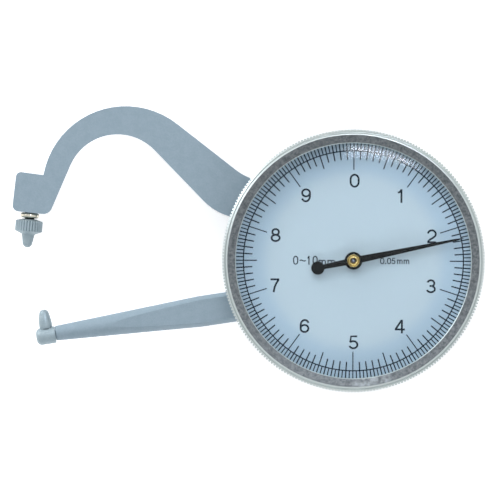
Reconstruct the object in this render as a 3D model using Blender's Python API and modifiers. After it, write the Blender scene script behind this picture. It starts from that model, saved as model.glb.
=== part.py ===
"""Dial caliper gauge: a round dial housing with a fixed lower arm and a pivoted upper arm.

The gauge lies on its back. X is to the right and Y up the dial, Z points out of the dial
towards the reader, and the origin is on the pointer's axis at the back face. The upper arm
turns about a shaft inside the case. A toothed sector on it drives an intermediate pinion and
wheel, which drive the centre pinion and the pointer, thirty turns of pointer to one of arm.
"""

import math

import bmesh
import bpy
from mathutils import Matrix, Vector

# Bezel, dial and crystal
BEZEL_RADIUS = 0.0250
BEZEL_HEIGHT = 0.00515
KNURL_COUNT = 256
KNURL_DEPTH = 0.00022
RIM_CHAMFER_WIDTH = 0.00116
RIM_CHAMFER_DROP = 0.00085
FACE_RING_WIDTH = 0.00142
FACE_RING_DROP = 0.00045
BEZEL_FOOT_CHAMFER = 0.0006
LEDGE_WIDTH = 0.0018
LEDGE_THICKNESS = 0.00035
DIAL_THICKNESS = 0.0004
DIAL_HOLE_RADIUS = 0.0012
SPACER_WIDTH = 0.00025
SPACER_HEIGHT = 0.0012
CRYSTAL_THICKNESS = 0.0010
CRYSTAL_RISE = 0.0016
RETAINER_WIRE = 0.0005
RETAINER_DEPTH = 0.0003

# Case
BEZEL_OVERHANG = 0.0022
CASE_WALL = 0.0020
SPIGOT_INSET = 0.00082
SPIGOT_HEIGHT = 0.0014
PARTITION_THICKNESS = 0.0009
PARTITION_HOLE_RADIUS = 0.0024
BACK_COVER_THICKNESS = 0.0015
BACK_COVER_CHAMFER = 0.0004
COVER_BOSS_WALL = 0.0005
SCREW_COUNT = 3
SCREW_FIRST_ANGLE = math.radians(58)
COVER_SCREW_RADIUS = 0.0008
COVER_SCREW_HEAD_RADIUS = 0.0015
COVER_SCREW_HEAD_DEPTH = 0.0008
COVER_SCREW_RECESS = 0.0001
COVER_SCREW_LENGTH = 0.0042
COVER_POST_RADIUS = 0.0017
WALL_BITE = 0.0003

# Levels of the arms and of the movement above the back face
ARM_LEVEL = 0.0046
PARTITION_TOP = 0.01035
SECTOR_THICKNESS = 0.0006
LOWER_PLATE_THICKNESS = 0.0007
LOWER_PLATE_DROP = 0.0009
UPPER_PLATE_THICKNESS = 0.0005
PINION_FACE = 0.0010
WHEEL_THICKNESS = 0.0004
WHEEL_RISE = 0.0002
CENTRE_PINION_FACE = 0.0007
PLATE_RADIUS = 0.0083
PILLAR_RADIUS = 0.0009
PILLAR_RING_INSET = 0.0014
PILLAR_ANGLES = [math.radians(turn) for turn in (75, 230, 315)]
MOVEMENT_SCREW_RADIUS = 0.00045
MOVEMENT_SCREW_HEAD_RADIUS = 0.0009
MOVEMENT_SCREW_HEAD_HEIGHT = 0.0005

# Gear train
SECTOR_TEETH_IN_FULL_TURN = 120
SECTOR_TEETH = 9
PINION_TEETH = 12
WHEEL_TEETH = 36
PRESSURE_ANGLE = math.radians(20)
TRAIN_STRETCH_SHARE = 0.9525
WHEEL_ADDENDUM_SHARE = 0.70
PINION_ADDENDUM_SHARE = 0.95
ROOT_CLEARANCE_SHARE = 0.25
TOOTH_THICKNESS_SHARE = 0.46
UNDERCUT_SHARE = 0.1
ARBOR_RADIUS = 0.00055
ARBOR_TIP_RADIUS = 0.00036
BEARING_CLEARANCE = 0.00004

# Pointer
POINTER_THICKNESS = 0.00025
POINTER_LIFT = 0.0008
POINTER_TIP_INSET = 0.00142
POINTER_ROOT_WIDTH = 0.00121
POINTER_TIP_WIDTH = 0.00012
POINTER_HUB_RADIUS = 0.001515
POINTER_READING = 2.18
READING_PER_TURN = 10.0
TAIL_DISC_DISTANCE = 0.00684
TAIL_DISC_RADIUS = 0.00125
TAIL_ROOT_WIDTH = 0.00129
TAIL_END_WIDTH = 0.00081
BOSS_FLANGE_RADIUS = 0.00123
BOSS_SLEEVE_RADIUS = 0.0008
BOSS_HEIGHT = 0.00055

# Hairspring
HAIRSPRING_TURNS = 4
HAIRSPRING_PITCH = 0.00042
HAIRSPRING_WIRE_RADIUS = 0.00006
COLLET_RADIUS = 0.00105
COLLET_HEIGHT = 0.0003
STUD_RADIUS = 0.00028

# Fixed lower arm, cap and stylus
FIXED_ARM_ANGLE = math.radians(8.6)
FIXED_ARM_OFFSET = 0.005175
FIXED_ARM_RADIUS = 0.00293
FIXED_ARM_STRAIGHT = 0.00738
FIXED_ARM_TAPER_LENGTH = 0.02739
FIXED_ARM_END_RADIUS = 0.001425
FIXED_ARM_FLAT_HEIGHT = 0.00205
FIXED_ARM_SPIGOT_RADIUS = 0.0022
FIXED_ARM_SPIGOT_LENGTH = 0.0043
SOCKET_WALL = 0.0013
ARM_PIN_RADIUS = 0.0006
CAP_RADIUS = 0.00147
CAP_LENGTH = 0.00373
CAP_CHAMFER = 0.00035
CAP_STUD_RADIUS = 0.0008
CAP_STUD_LENGTH = 0.0024
STYLUS_HEIGHT = 0.00481
STYLUS_BASE_RADIUS = 0.001185
STYLUS_TIP_RADIUS = 0.00093
STYLUS_SHANK_RADIUS = 0.0006
STYLUS_SEAT_HEIGHT = 0.0010

# Moving upper arm
JAW_OPENING_READING = 12.18
ARM_THICKNESS = 0.0042
ARM_EDGE_CHAMFER = 0.00025
PIVOT_WALL_DISTANCE = 0.003655
PIVOT_ANGLE = math.radians(148.06)
PIVOT_SHAFT_RADIUS = 0.0012
HUB_RADIUS = 0.0031
TAIL_WIDTH = 0.0030
THUMB_HEAD_ANGLE = math.radians(88)
THUMB_HEAD_SPREAD = math.radians(9)
THUMB_HEAD_THICKNESS = 0.0016
THUMB_HEAD_HEIGHT = 0.0052
THUMB_HEAD_CLEARANCE = 0.0004

# Anvil and lock nut
ANVIL_LEAN = math.radians(5.0)
ANVIL_TIP_RADIUS = 0.00093
ANVIL_PIN_RADIUS = 0.00122
ANVIL_PIN_LENGTH = 0.00256
COLLAR_RADIUS = 0.002575
COLLAR_LENGTH = 0.00286
COLLAR_TOP_CHAMFER = 0.0003
COLLAR_BOTTOM_CHAMFER = 0.00043
COLLAR_FLUTES = 28
COLLAR_FLUTE_DEPTH = 0.00018
SHANK_RADIUS = 0.0010
SHANK_LENGTH = 0.0058
LOCK_NUT_RADIUS = 0.00177
LOCK_NUT_LENGTH = 0.0010
LOCK_NUT_STANDOFF = 0.00017

# Return spring
SPRING_TURNS = 12
SPRING_COIL_RADIUS = 0.0007
SPRING_WIRE_RADIUS = 0.00014
SPRING_LENGTH = 0.0120
SPRING_HOOK = 0.0011
SPRING_POST_RADIUS = 0.0004
SPRING_ARM_DISTANCE = 0.0023

# Clearances
SEAT_GAP = 0.00005
RUNNING_GAP = 0.00006
TIP_GAP = 0.00005
SWEEP_GAP = 0.0003
OVERRUN = 0.0010

# Sizes that follow from the ones above
FACE_OUTER_RADIUS = BEZEL_RADIUS - RIM_CHAMFER_WIDTH
BORE_RADIUS = FACE_OUTER_RADIUS - FACE_RING_WIDTH
CASE_RADIUS = BEZEL_RADIUS - BEZEL_OVERHANG
CASE_BORE_RADIUS = CASE_RADIUS - CASE_WALL
SPIGOT_RADIUS = BORE_RADIUS - SPIGOT_INSET
POINTER_TIP_RADIUS = BORE_RADIUS - POINTER_TIP_INSET
PARTITION_BOTTOM = PARTITION_TOP - PARTITION_THICKNESS
CASE_SHOULDER = PARTITION_TOP - SPIGOT_HEIGHT
BEZEL_BOTTOM = CASE_SHOULDER + SEAT_GAP
LEDGE_BOTTOM = PARTITION_TOP + SEAT_GAP * 2
LEDGE_TOP = LEDGE_BOTTOM + LEDGE_THICKNESS
DIAL_BOTTOM = LEDGE_TOP + SEAT_GAP
DIAL_TOP = DIAL_BOTTOM + DIAL_THICKNESS
POINTER_BOTTOM = DIAL_TOP + POINTER_LIFT
POINTER_TOP = POINTER_BOTTOM + POINTER_THICKNESS
SPACER_BOTTOM = DIAL_TOP + SEAT_GAP
CRYSTAL_BOTTOM = SPACER_BOTTOM + SPACER_HEIGHT + SEAT_GAP
BACK_COVER_TOP = BACK_COVER_THICKNESS
CASE_BOTTOM = BACK_COVER_TOP + SEAT_GAP
COVER_SCREW_RING = CASE_BORE_RADIUS - COVER_POST_RADIUS + WALL_BITE

ARM_BOTTOM = ARM_LEVEL - ARM_THICKNESS / 2
ARM_TOP = ARM_LEVEL + ARM_THICKNESS / 2
SECTOR_BOTTOM = ARM_TOP + SEAT_GAP
SECTOR_TOP = SECTOR_BOTTOM + SECTOR_THICKNESS
SECTOR_MIDDLE = SECTOR_BOTTOM + SECTOR_THICKNESS / 2
LOWER_PLATE_TOP = SECTOR_BOTTOM - LOWER_PLATE_DROP
LOWER_PLATE_BOTTOM = LOWER_PLATE_TOP - LOWER_PLATE_THICKNESS
UPPER_PLATE_TOP = PARTITION_BOTTOM - SEAT_GAP
UPPER_PLATE_BOTTOM = UPPER_PLATE_TOP - UPPER_PLATE_THICKNESS
PINION_BOTTOM = SECTOR_MIDDLE - PINION_FACE / 2
PINION_TOP = PINION_BOTTOM + PINION_FACE
WHEEL_BOTTOM = PINION_TOP + WHEEL_RISE
WHEEL_TOP = WHEEL_BOTTOM + WHEEL_THICKNESS
WHEEL_MIDDLE = WHEEL_BOTTOM + WHEEL_THICKNESS / 2
CENTRE_PINION_BOTTOM = WHEEL_MIDDLE - CENTRE_PINION_FACE / 2
PILLAR_RING = PLATE_RADIUS - PILLAR_RING_INSET

PIVOT_DISTANCE = CASE_BORE_RADIUS - PIVOT_WALL_DISTANCE
PIVOT = Vector((math.cos(PIVOT_ANGLE), math.sin(PIVOT_ANGLE))) * PIVOT_DISTANCE
FIRST_PAIR_TEETH = SECTOR_TEETH_IN_FULL_TURN + PINION_TEETH
SECOND_PAIR_TEETH = WHEEL_TEETH + PINION_TEETH
GEAR_MODULE = 2 * PIVOT_DISTANCE / ((FIRST_PAIR_TEETH + SECOND_PAIR_TEETH) * TRAIN_STRETCH_SHARE)
FIRST_CENTRE_DISTANCE = GEAR_MODULE * FIRST_PAIR_TEETH / 2
SECOND_CENTRE_DISTANCE = GEAR_MODULE * SECOND_PAIR_TEETH / 2
TRAIN_RATIO = SECTOR_TEETH_IN_FULL_TURN / PINION_TEETH * WHEEL_TEETH / PINION_TEETH
TRAVEL = JAW_OPENING_READING / READING_PER_TURN * math.tau / TRAIN_RATIO

FIXED_ARM_OUT = Vector((-math.cos(FIXED_ARM_ANGLE), -math.sin(FIXED_ARM_ANGLE)))
FIXED_ARM_DOWN = Vector((math.sin(FIXED_ARM_ANGLE), -math.cos(FIXED_ARM_ANGLE)))
TAPER_START = CASE_RADIUS + FIXED_ARM_STRAIGHT
FIXED_ARM_END = TAPER_START + FIXED_ARM_TAPER_LENGTH
CAP_START = FIXED_ARM_END + SEAT_GAP
STYLUS_PLACE = CAP_START + CAP_LENGTH / 2
STYLUS_TIP = FIXED_ARM_OUT * STYLUS_PLACE + FIXED_ARM_DOWN * (FIXED_ARM_OFFSET - STYLUS_HEIGHT)
REACH = (STYLUS_TIP - PIVOT).length
OPEN_TURN = TRAVEL + TIP_GAP / REACH
ANVIL_TIP = PIVOT + Matrix.Rotation(-OPEN_TURN, 2) @ (STYLUS_TIP - PIVOT)
ANVIL_UP = Vector((math.sin(ANVIL_LEAN), math.cos(ANVIL_LEAN)))

ANVIL_ACROSS = Vector((ANVIL_UP.y, -ANVIL_UP.x))
ANVIL_SEAT_HEIGHT = ANVIL_PIN_LENGTH + COLLAR_LENGTH + LOCK_NUT_LENGTH + LOCK_NUT_STANDOFF * 2
ANVIL_SEAT = ANVIL_TIP + ANVIL_UP * ANVIL_SEAT_HEIGHT

# Corners of the moving arm's block, from the anvil's seat: across, along its axis, rounding
BLOCK_CORNERS = [
    (-0.003218, 0.007433, 0.000718),
    (-0.003427, -0.000066, 0.000957),
    (0.003605, -0.000214, 0.001484),
]
BLOCK_NOTCH = (0.001938, 0.007192, 0.000096)

# Corners of the arch's outline, from the pivot, as shares of the arm's reach: x, y, rounding
ARCH_INNER_SHARES = [(-0.6979, 0.4706, 0.2038), (-0.2474, 0.0037, 0.2250)]
ARCH_OUTER_SHARES = [(-0.1016, 0.1244, 0.2229), (-0.8212, 0.6864, 0.3310)]

COLOURS = {
    "arm_paint": ((0.30, 0.40, 0.47), 0.45, 0.6),
    "bezel_chrome": ((0.78, 0.79, 0.78), 0.25, 1.0),
    "case_paint": ((0.42, 0.47, 0.50), 0.40, 0.7),
    "cover_steel": ((0.55, 0.56, 0.57), 0.35, 1.0),
    "dial_card": ((0.52, 0.66, 0.76), 0.50, 0.0),
    "pointer_black": ((0.02, 0.02, 0.025), 0.40, 0.0),
    "brass": ((0.72, 0.50, 0.18), 0.30, 1.0),
    "steel": ((0.62, 0.63, 0.64), 0.30, 1.0),
    "chrome": ((0.85, 0.85, 0.84), 0.10, 1.0),
    "spring_steel": ((0.30, 0.32, 0.36), 0.35, 1.0),
    "crystal_clear": ((0.92, 0.95, 0.96), 0.05, 0.0),
}

LARGE_STEPS = 48
MEDIUM_STEPS = 24
SMALL_STEPS = 12
MODEL_NAME = "dial_caliper_gauge"
MERGE_DISTANCE = 1e-6

# Counts and proportions of small features
DOME_STEPS = 4
TIP_STEPS = 4
NUT_STEPS = 5
WHEEL_SPOKES = 4
WHEEL_RIM_SHARE = 0.78
WHEEL_EYE_SHARE = 0.34
WHEEL_WINDOW_SHARE = 0.72
SECTOR_RIM_SHARE = 0.86
SECTOR_EYE_SHARE = 0.42
SECTOR_WINDOW_SHARE = 0.62
ARBOR_END_SHARE = 0.35
BOSS_RIM_SHARE = 0.55
BOSS_DISH_SHARE = 0.45
BOSS_LIP_SHARE = 0.82
TAIL_END_SHARE = 0.15
COLLAR_CONE_SHARE = 0.62
GRIP_ROOT_SHARE = 0.985

# Places that several pieces share
SHOULDER_INSET = 0.0033
SHOULDER_PLACE = CASE_BORE_RADIUS - SHOULDER_INSET
SPIGOT_END = SHOULDER_PLACE - FIXED_ARM_SPIGOT_LENGTH
ARM_PIN_SPACING_SHARE = 0.25
ARM_PIN_PLACES = [
    SPIGOT_END + FIXED_ARM_SPIGOT_LENGTH * ARM_PIN_SPACING_SHARE,
    SHOULDER_PLACE - FIXED_ARM_SPIGOT_LENGTH * ARM_PIN_SPACING_SHARE,
]
ARM_PIN_TOP = ARM_LEVEL + FIXED_ARM_SPIGOT_RADIUS + SOCKET_WALL
SHAFT_BOTTOM = BACK_COVER_THICKNESS / 2
SHAFT_TOP = PARTITION_BOTTOM - SECTOR_THICKNESS / 2
SCREW_HOLE_TOP = (PARTITION_BOTTOM + PARTITION_TOP) / 2
SLOT_REACH = 0.0005
SLOTS = [
    ("arm_slot", math.radians(130), math.radians(168)),
    ("thumb_slot", math.radians(80), math.radians(123)),
]
SECTOR_SCREW_DEPTH = 0.0015
SECTOR_SCREW_HEAD_RADIUS = 0.0007
SECTOR_SCREW_HEAD_HEIGHT = 0.0003
HAIRSPRING_LEVEL = (WHEEL_TOP + UPPER_PLATE_BOTTOM) / 2
SPRING_LEVEL = CASE_BOTTOM + SPRING_COIL_RADIUS + SPRING_WIRE_RADIUS + SEAT_GAP * 2
SPRING_HOOK_LEVEL = (CASE_BOTTOM + ARM_BOTTOM) / 2
SPRING_PIN_BOTTOM = SPRING_HOOK_LEVEL - SPRING_WIRE_RADIUS
SPRING_PIN_DEPTH = 0.0012
SPRING_SLOPE = math.radians(-5)
SPRING_LEAD = 0.0036
SPRING_ARM_POINT = PIVOT - Vector((0.0, SPRING_ARM_DISTANCE))
SPRING_RUN = Vector((math.cos(SPRING_SLOPE), math.sin(SPRING_SLOPE)))
SPRING_POST = SPRING_ARM_POINT + SPRING_RUN * (SPRING_LEAD + SPRING_LENGTH + SPRING_HOOK)


def clear_scene():
    """Remove the objects that are in the scene."""
    for obj in list(bpy.data.objects):
        bpy.data.objects.remove(obj, do_unlink=True)


def make_collection(name):
    """Make a collection in the scene."""
    collection = bpy.data.collections.new(name)
    bpy.context.scene.collection.children.link(collection)
    return collection


def make_material(name):
    """Make a Principled material from the colour table."""
    colour, roughness, metallic = COLOURS[name]
    material = bpy.data.materials.new(name)
    material.use_nodes = True
    shader = material.node_tree.nodes["Principled BSDF"]
    shader.inputs["Base Color"].default_value = (*colour, 1.0)
    shader.inputs["Roughness"].default_value = roughness
    shader.inputs["Metallic"].default_value = metallic
    return material


clear_scene()
PARTS = make_collection(MODEL_NAME)
CUTTERS = make_collection("cutters")


# Building blocks

def new_object(name, mesh, material=None, collection=None):
    """Wrap a mesh in an object of its own, with a finish when it is a part."""
    obj = bpy.data.objects.new(name, mesh)
    (collection or PARTS).objects.link(obj)
    if material:
        finish = make_material(material)
        finish.name = name + "_" + material
        mesh.materials.append(finish)
    return obj


def place(obj, xy=(0.0, 0.0), z=0.0, turn=0.0, parent=None):
    """Set an object at a point of the dial's plane, turned about Z."""
    obj.location = (xy[0], xy[1], z)
    obj.rotation_euler = (0.0, 0.0, turn)
    if parent:
        obj.parent = parent
    return obj


def make_empty(name, xy, z=0.0):
    """Make the empty that carries the pieces of a body that turns about Z."""
    empty = bpy.data.objects.new(name, None)
    PARTS.objects.link(empty)
    empty.empty_display_size = HUB_RADIUS
    empty.location = (xy[0], xy[1], z)
    return empty


def turned_mesh(name, profile, steps=MEDIUM_STEPS):
    """Turn a closed profile of (radius, height) points about Z."""
    mesh = bpy.data.meshes.new(name)
    points = [(radius, 0.0, height) for radius, height in profile]
    count = len(points)
    on_axis = profile[0][0] == 0.0 and profile[-1][0] == 0.0
    last = count - 1 if on_axis else count
    edges = [(index, (index + 1) % count) for index in range(last)]
    mesh.from_pydata(points, edges, [])
    return mesh


def turned(name, profile, material=None, steps=None, collection=None):
    """Make a turned solid: its profile runs from the top down its outer side."""
    obj = new_object(name, turned_mesh(name, profile), material, collection)
    screw = obj.modifiers.new("turn", "SCREW")
    screw.axis = "Z"
    screw.steps = steps or MEDIUM_STEPS
    screw.render_steps = screw.steps
    screw.use_merge_vertices = True
    screw.merge_threshold = MERGE_DISTANCE
    screw.use_smooth_shade = False
    return obj


def solid_plate(name, outlines, thickness, material=None, collection=None):
    """Make a flat solid from closed outlines, lying on its own XY plane."""
    curve = bpy.data.curves.new(name, "CURVE")
    curve.dimensions = "2D"
    curve.fill_mode = "BOTH"
    curve.extrude = thickness / 2
    for outline in outlines:
        spline = curve.splines.new("POLY")
        spline.points.add(len(outline) - 1)
        for point, (x, y) in zip(spline.points, outline):
            point.co = (x, y, thickness / 2, 1.0)
        spline.use_cyclic_u = True
    guide = bpy.data.objects.new(name + "_outline", curve)
    CUTTERS.objects.link(guide)
    bpy.context.view_layer.update()
    graph = bpy.context.evaluated_depsgraph_get()
    mesh = bpy.data.meshes.new_from_object(guide.evaluated_get(graph))
    bpy.data.objects.remove(guide, do_unlink=True)
    shell = bmesh.new()
    shell.from_mesh(mesh)
    bmesh.ops.remove_doubles(shell, verts=shell.verts, dist=MERGE_DISTANCE)
    lowest = min(vertex.co.z for vertex in shell.verts)
    bmesh.ops.translate(shell, verts=shell.verts, vec=(0.0, 0.0, -lowest))
    shell.to_mesh(mesh)
    shell.free()
    mesh.name = name
    mesh.materials.clear()
    return new_object(name, mesh, material, collection)


def wire(name, points, radius, material, sides_level=1):
    """Make a round wire through points, as a closed solid."""
    curve = bpy.data.curves.new(name, "CURVE")
    curve.dimensions = "3D"
    curve.bevel_depth = radius
    curve.bevel_resolution = sides_level
    curve.use_fill_caps = True
    spline = curve.splines.new("POLY")
    spline.points.add(len(points) - 1)
    for point, place_of_point in zip(spline.points, points):
        point.co = (*place_of_point, 1.0)
    return new_object(name, curve, material)


def boolean(obj, tool, operation):
    """Cut a tool out of an object, or join it on."""
    tool.hide_render = True
    tool.display_type = "WIRE"
    modifier = obj.modifiers.new(tool.name, "BOOLEAN")
    modifier.operation = operation
    modifier.object = tool
    modifier.solver = "EXACT"


def cut(obj, tool):
    """Cut a tool out of an object."""
    boolean(obj, tool, "DIFFERENCE")


def join(obj, tool):
    """Join a tool on to an object as one solid."""
    boolean(obj, tool, "UNION")


def rod(name, radius, bottom, top, xy=(0.0, 0.0), material=None, steps=None, collection=None):
    """Make an upright cylinder between two levels."""
    profile = [(0.0, top), (radius, top), (radius, bottom), (0.0, bottom)]
    obj = turned(name, profile, material, steps, collection)
    return place(obj, xy)


def cutter_rod(name, radius, bottom, top, xy=(0.0, 0.0), steps=None):
    """Make an upright cylinder that cuts or joins."""
    return rod(name, radius, bottom, top, xy, steps=steps or SMALL_STEPS, collection=CUTTERS)


def polar(radius, angle):
    """Give the point at a radius and an angle."""
    return Vector((radius * math.cos(angle), radius * math.sin(angle)))


def arc(radius, start, end, count, centre=(0.0, 0.0)):
    """List points along an arc, both ends included."""
    step = (end - start) / (count - 1)
    return [Vector(centre) + polar(radius, start + step * index) for index in range(count)]


def circle(radius, count, centre=(0.0, 0.0)):
    """List the points of a circle."""
    return [Vector(centre) + polar(radius, math.tau * index / count) for index in range(count)]


def ring_sector(inner, outer, start, end, count):
    """List the outline of a piece of a ring."""
    return arc(outer, start, end, count) + arc(inner, end, start, count)


def rounded(corners, segment_angle=math.radians(10)):
    """Round the corners of an outline, each given as x, y and radius."""
    outline = []
    count = len(corners)
    for index, (x, y, radius) in enumerate(corners):
        here = Vector((x, y))
        before = (Vector(corners[index - 1][:2]) - here).normalized()
        after = (Vector(corners[(index + 1) % count][:2]) - here).normalized()
        half = before.angle(after) / 2
        centre = here + (before + after).normalized() * (radius / math.sin(half))
        first = here + before * (radius / math.tan(half)) - centre
        turn = first.angle_signed(here + after * (radius / math.tan(half)) - centre)
        steps = max(2, math.ceil(abs(turn) / segment_angle))
        for step in range(steps + 1):
            outline.append(centre + Matrix.Rotation(-turn * step / steps, 2) @ first)
    return outline


def hub_corner(centre, radius, start, end):
    """Find the corner that, rounded, wraps a run from start to end around a hub on its left."""
    to_hub = centre - start
    from_hub = end - centre
    arrive = math.atan2(to_hub.y, to_hub.x) - math.asin(radius / to_hub.length)
    leave = math.atan2(from_hub.y, from_hub.x) + math.asin(radius / from_hub.length)
    half = (leave - arrive) / 2
    outward = polar(1.0, (arrive + leave) / 2 - math.pi / 2)
    return centre + outward * (radius / math.cos(half))


# Gears

def involute(angle):
    """Give the involute function of a pressure angle."""
    return math.tan(angle) - angle


def tooth_flank(pitch_radius, root, tip, half_tooth):
    """List radius and half angle along one flank, from the root to the tip."""
    base = pitch_radius * math.cos(PRESSURE_ANGLE)
    start = base if base - root > (tip - root) * UNDERCUT_SHARE else root
    stations = [start, pitch_radius, tip]
    flank = []
    for radius in stations:
        pressure = math.acos(min(1.0, base / radius))
        half = half_tooth + involute(PRESSURE_ANGLE) - involute(pressure)
        flank.append((radius, half))
    if root < start:
        flank.insert(0, (root, flank[0][1]))
    return flank


def teeth_outline(teeth_in_turn, addendum, dedendum, first_angle, count):
    """List the outline of some teeth, the first centred on the first angle."""
    pitch_radius = GEAR_MODULE * teeth_in_turn / 2
    pitch_angle = math.tau / teeth_in_turn
    half_tooth = pitch_angle * TOOTH_THICKNESS_SHARE / 2
    root = pitch_radius - dedendum * GEAR_MODULE
    tip = pitch_radius + addendum * GEAR_MODULE
    flank = tooth_flank(pitch_radius, root, tip, half_tooth)
    outline = []
    for index in range(count):
        middle = first_angle + pitch_angle * index
        outline += [polar(radius, middle - half) for radius, half in flank]
        outline += [polar(radius, middle + half) for radius, half in reversed(flank)]
    return outline


def wheel_teeth(teeth_in_turn, first_angle, count):
    """List the teeth of a wheel or sector."""
    dedendum = PINION_ADDENDUM_SHARE + ROOT_CLEARANCE_SHARE
    return teeth_outline(teeth_in_turn, WHEEL_ADDENDUM_SHARE, dedendum, first_angle, count)


def pinion_teeth(gap_angle):
    """List the teeth of a pinion that has a gap at an angle."""
    dedendum = WHEEL_ADDENDUM_SHARE + ROOT_CLEARANCE_SHARE
    first = gap_angle + math.pi / PINION_TEETH
    return teeth_outline(PINION_TEETH, PINION_ADDENDUM_SHARE, dedendum, first, PINION_TEETH)


def intermediate_axis():
    """Find the intermediate arbor, below the line from the pivot to the dial's centre."""
    distance = PIVOT.length
    along = (distance ** 2 + SECOND_CENTRE_DISTANCE ** 2 - FIRST_CENTRE_DISTANCE ** 2) / (2 * distance)
    across = math.sqrt(SECOND_CENTRE_DISTANCE ** 2 - along ** 2)
    towards = PIVOT.normalized()
    return towards * along + Vector((-towards.y, towards.x)) * across


INTERMEDIATE = intermediate_axis()
MESH_ANGLE = math.atan2(INTERMEDIATE.y - PIVOT.y, INTERMEDIATE.x - PIVOT.x)
DRIVE_ANGLE = math.atan2(-INTERMEDIATE.y, -INTERMEDIATE.x)


# Case

def make_case():
    """Make the case: a cup open to the back, with a spigot for the bezel and two slots."""
    profile = [
        (PARTITION_HOLE_RADIUS, PARTITION_TOP),
        (SPIGOT_RADIUS, PARTITION_TOP),
        (SPIGOT_RADIUS, CASE_SHOULDER),
        (CASE_RADIUS, CASE_SHOULDER),
        (CASE_RADIUS, CASE_BOTTOM),
        (CASE_BORE_RADIUS, CASE_BOTTOM),
        (CASE_BORE_RADIUS, PARTITION_BOTTOM),
        (PARTITION_HOLE_RADIUS, PARTITION_BOTTOM),
    ]
    groove_middle = (PARTITION_TOP + CASE_SHOULDER) / 2
    groove_half = RETAINER_WIRE / 2 + RUNNING_GAP
    groove_radius = SPIGOT_RADIUS - RETAINER_DEPTH - RUNNING_GAP
    groove = [
        (SPIGOT_RADIUS, groove_middle + groove_half),
        (groove_radius, groove_middle + groove_half),
        (groove_radius, groove_middle - groove_half),
        (SPIGOT_RADIUS, groove_middle - groove_half),
    ]
    profile[2:2] = groove
    case = turned("case_body", profile, "case_paint", steps=LARGE_STEPS)
    inside_wall = CASE_BORE_RADIUS + WALL_BITE
    inside_web = (PARTITION_BOTTOM + PARTITION_TOP) / 2
    for index in range(SCREW_COUNT):
        angle = SCREW_FIRST_ANGLE + math.tau * index / SCREW_COUNT
        post_place = polar(COVER_SCREW_RING, angle)
        post = cutter_rod("cover_post", COVER_POST_RADIUS, CASE_BOTTOM, inside_web, post_place)
        join(case, post)
    join(case, make_arm_socket(inside_wall, inside_web))
    boss_bottom = SECTOR_TOP + SECTOR_THICKNESS
    join(case, cutter_rod("pivot_boss", HUB_RADIUS, boss_bottom, inside_web, PIVOT))
    cut_case_openings(case)
    return case


def make_arm_socket(outer_radius, top):
    """Make the solid block inside the wall that holds the fixed arm's root."""
    half_width = FIXED_ARM_RADIUS + SOCKET_WALL
    near = FIXED_ARM_OFFSET - half_width
    far = FIXED_ARM_OFFSET + half_width
    first = math.pi + math.asin(near / outer_radius)
    last = math.pi + math.asin(far / outer_radius)
    inner_place = SPIGOT_END - SOCKET_WALL
    outline = arc(outer_radius, first, last, SMALL_STEPS)
    outline += [Vector((-inner_place, -far)), Vector((-inner_place, -near))]
    block = solid_plate("arm_socket", [outline], top - CASE_BOTTOM, collection=CUTTERS)
    return place(block, z=CASE_BOTTOM, turn=FIXED_ARM_ANGLE)


def cut_case_openings(case):
    """Cut the slots for the moving arm, the bores and the screw holes."""
    for name, start, end in SLOTS:
        outline = ring_sector(CASE_BORE_RADIUS - SLOT_REACH, CASE_RADIUS + OVERRUN, start, end, SMALL_STEPS)
        height = ARM_THICKNESS + SWEEP_GAP * 2
        slot = solid_plate(name, [outline], height, collection=CUTTERS)
        cut(case, place(slot, z=ARM_BOTTOM - SWEEP_GAP))
    cut(case, make_arm_bore())
    shaft_hole = PIVOT_SHAFT_RADIUS + RUNNING_GAP
    cut(case, cutter_rod("shaft_hole", shaft_hole, SECTOR_TOP, SHAFT_TOP + SEAT_GAP, PIVOT))
    for index in range(SCREW_COUNT):
        spot = polar(COVER_SCREW_RING, SCREW_FIRST_ANGLE + math.tau * index / SCREW_COUNT)
        hole_top = COVER_SCREW_LENGTH + SEAT_GAP * 2
        radius = COVER_SCREW_RADIUS + RUNNING_GAP
        cut(case, cutter_rod("cover_screw_hole", radius, 0.0, hole_top, spot))
    for angle in PILLAR_ANGLES:
        spot = polar(PILLAR_RING, angle)
        radius = MOVEMENT_SCREW_RADIUS + RUNNING_GAP
        hole_bottom = PARTITION_BOTTOM - OVERRUN
        cut(case, cutter_rod("movement_screw_hole", radius, hole_bottom, SCREW_HOLE_TOP, spot))
    for offset in ARM_PIN_PLACES:
        radius = ARM_PIN_RADIUS + RUNNING_GAP
        spot = fixed_arm_point(offset)
        cut(case, cutter_rod("arm_pin_hole", radius, 0.0, ARM_PIN_TOP + SEAT_GAP, spot))


def fixed_arm_point(distance):
    """Give the point on the fixed arm's axis at a distance along it."""
    return FIXED_ARM_OUT * distance + FIXED_ARM_DOWN * FIXED_ARM_OFFSET


def along_fixed_arm(obj, distance=0.0):
    """Lay a turned object, which stands on Z, along the fixed arm, outwards."""
    start = fixed_arm_point(distance)
    obj.location = (start.x, start.y, ARM_LEVEL)
    obj.rotation_euler = (0.0, -math.pi / 2, FIXED_ARM_ANGLE)
    return obj


def make_arm_bore():
    """Make the stepped cutter for the fixed arm's root."""
    profile = [
        (0.0, CASE_RADIUS + OVERRUN),
        (FIXED_ARM_RADIUS + SEAT_GAP, CASE_RADIUS + OVERRUN),
        (FIXED_ARM_RADIUS + SEAT_GAP, SHOULDER_PLACE - SEAT_GAP),
        (FIXED_ARM_SPIGOT_RADIUS + SEAT_GAP, SHOULDER_PLACE - SEAT_GAP),
        (FIXED_ARM_SPIGOT_RADIUS + SEAT_GAP, SPIGOT_END - SEAT_GAP),
        (0.0, SPIGOT_END - SEAT_GAP),
    ]
    return along_fixed_arm(turned("arm_bore", profile, steps=MEDIUM_STEPS, collection=CUTTERS))


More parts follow.
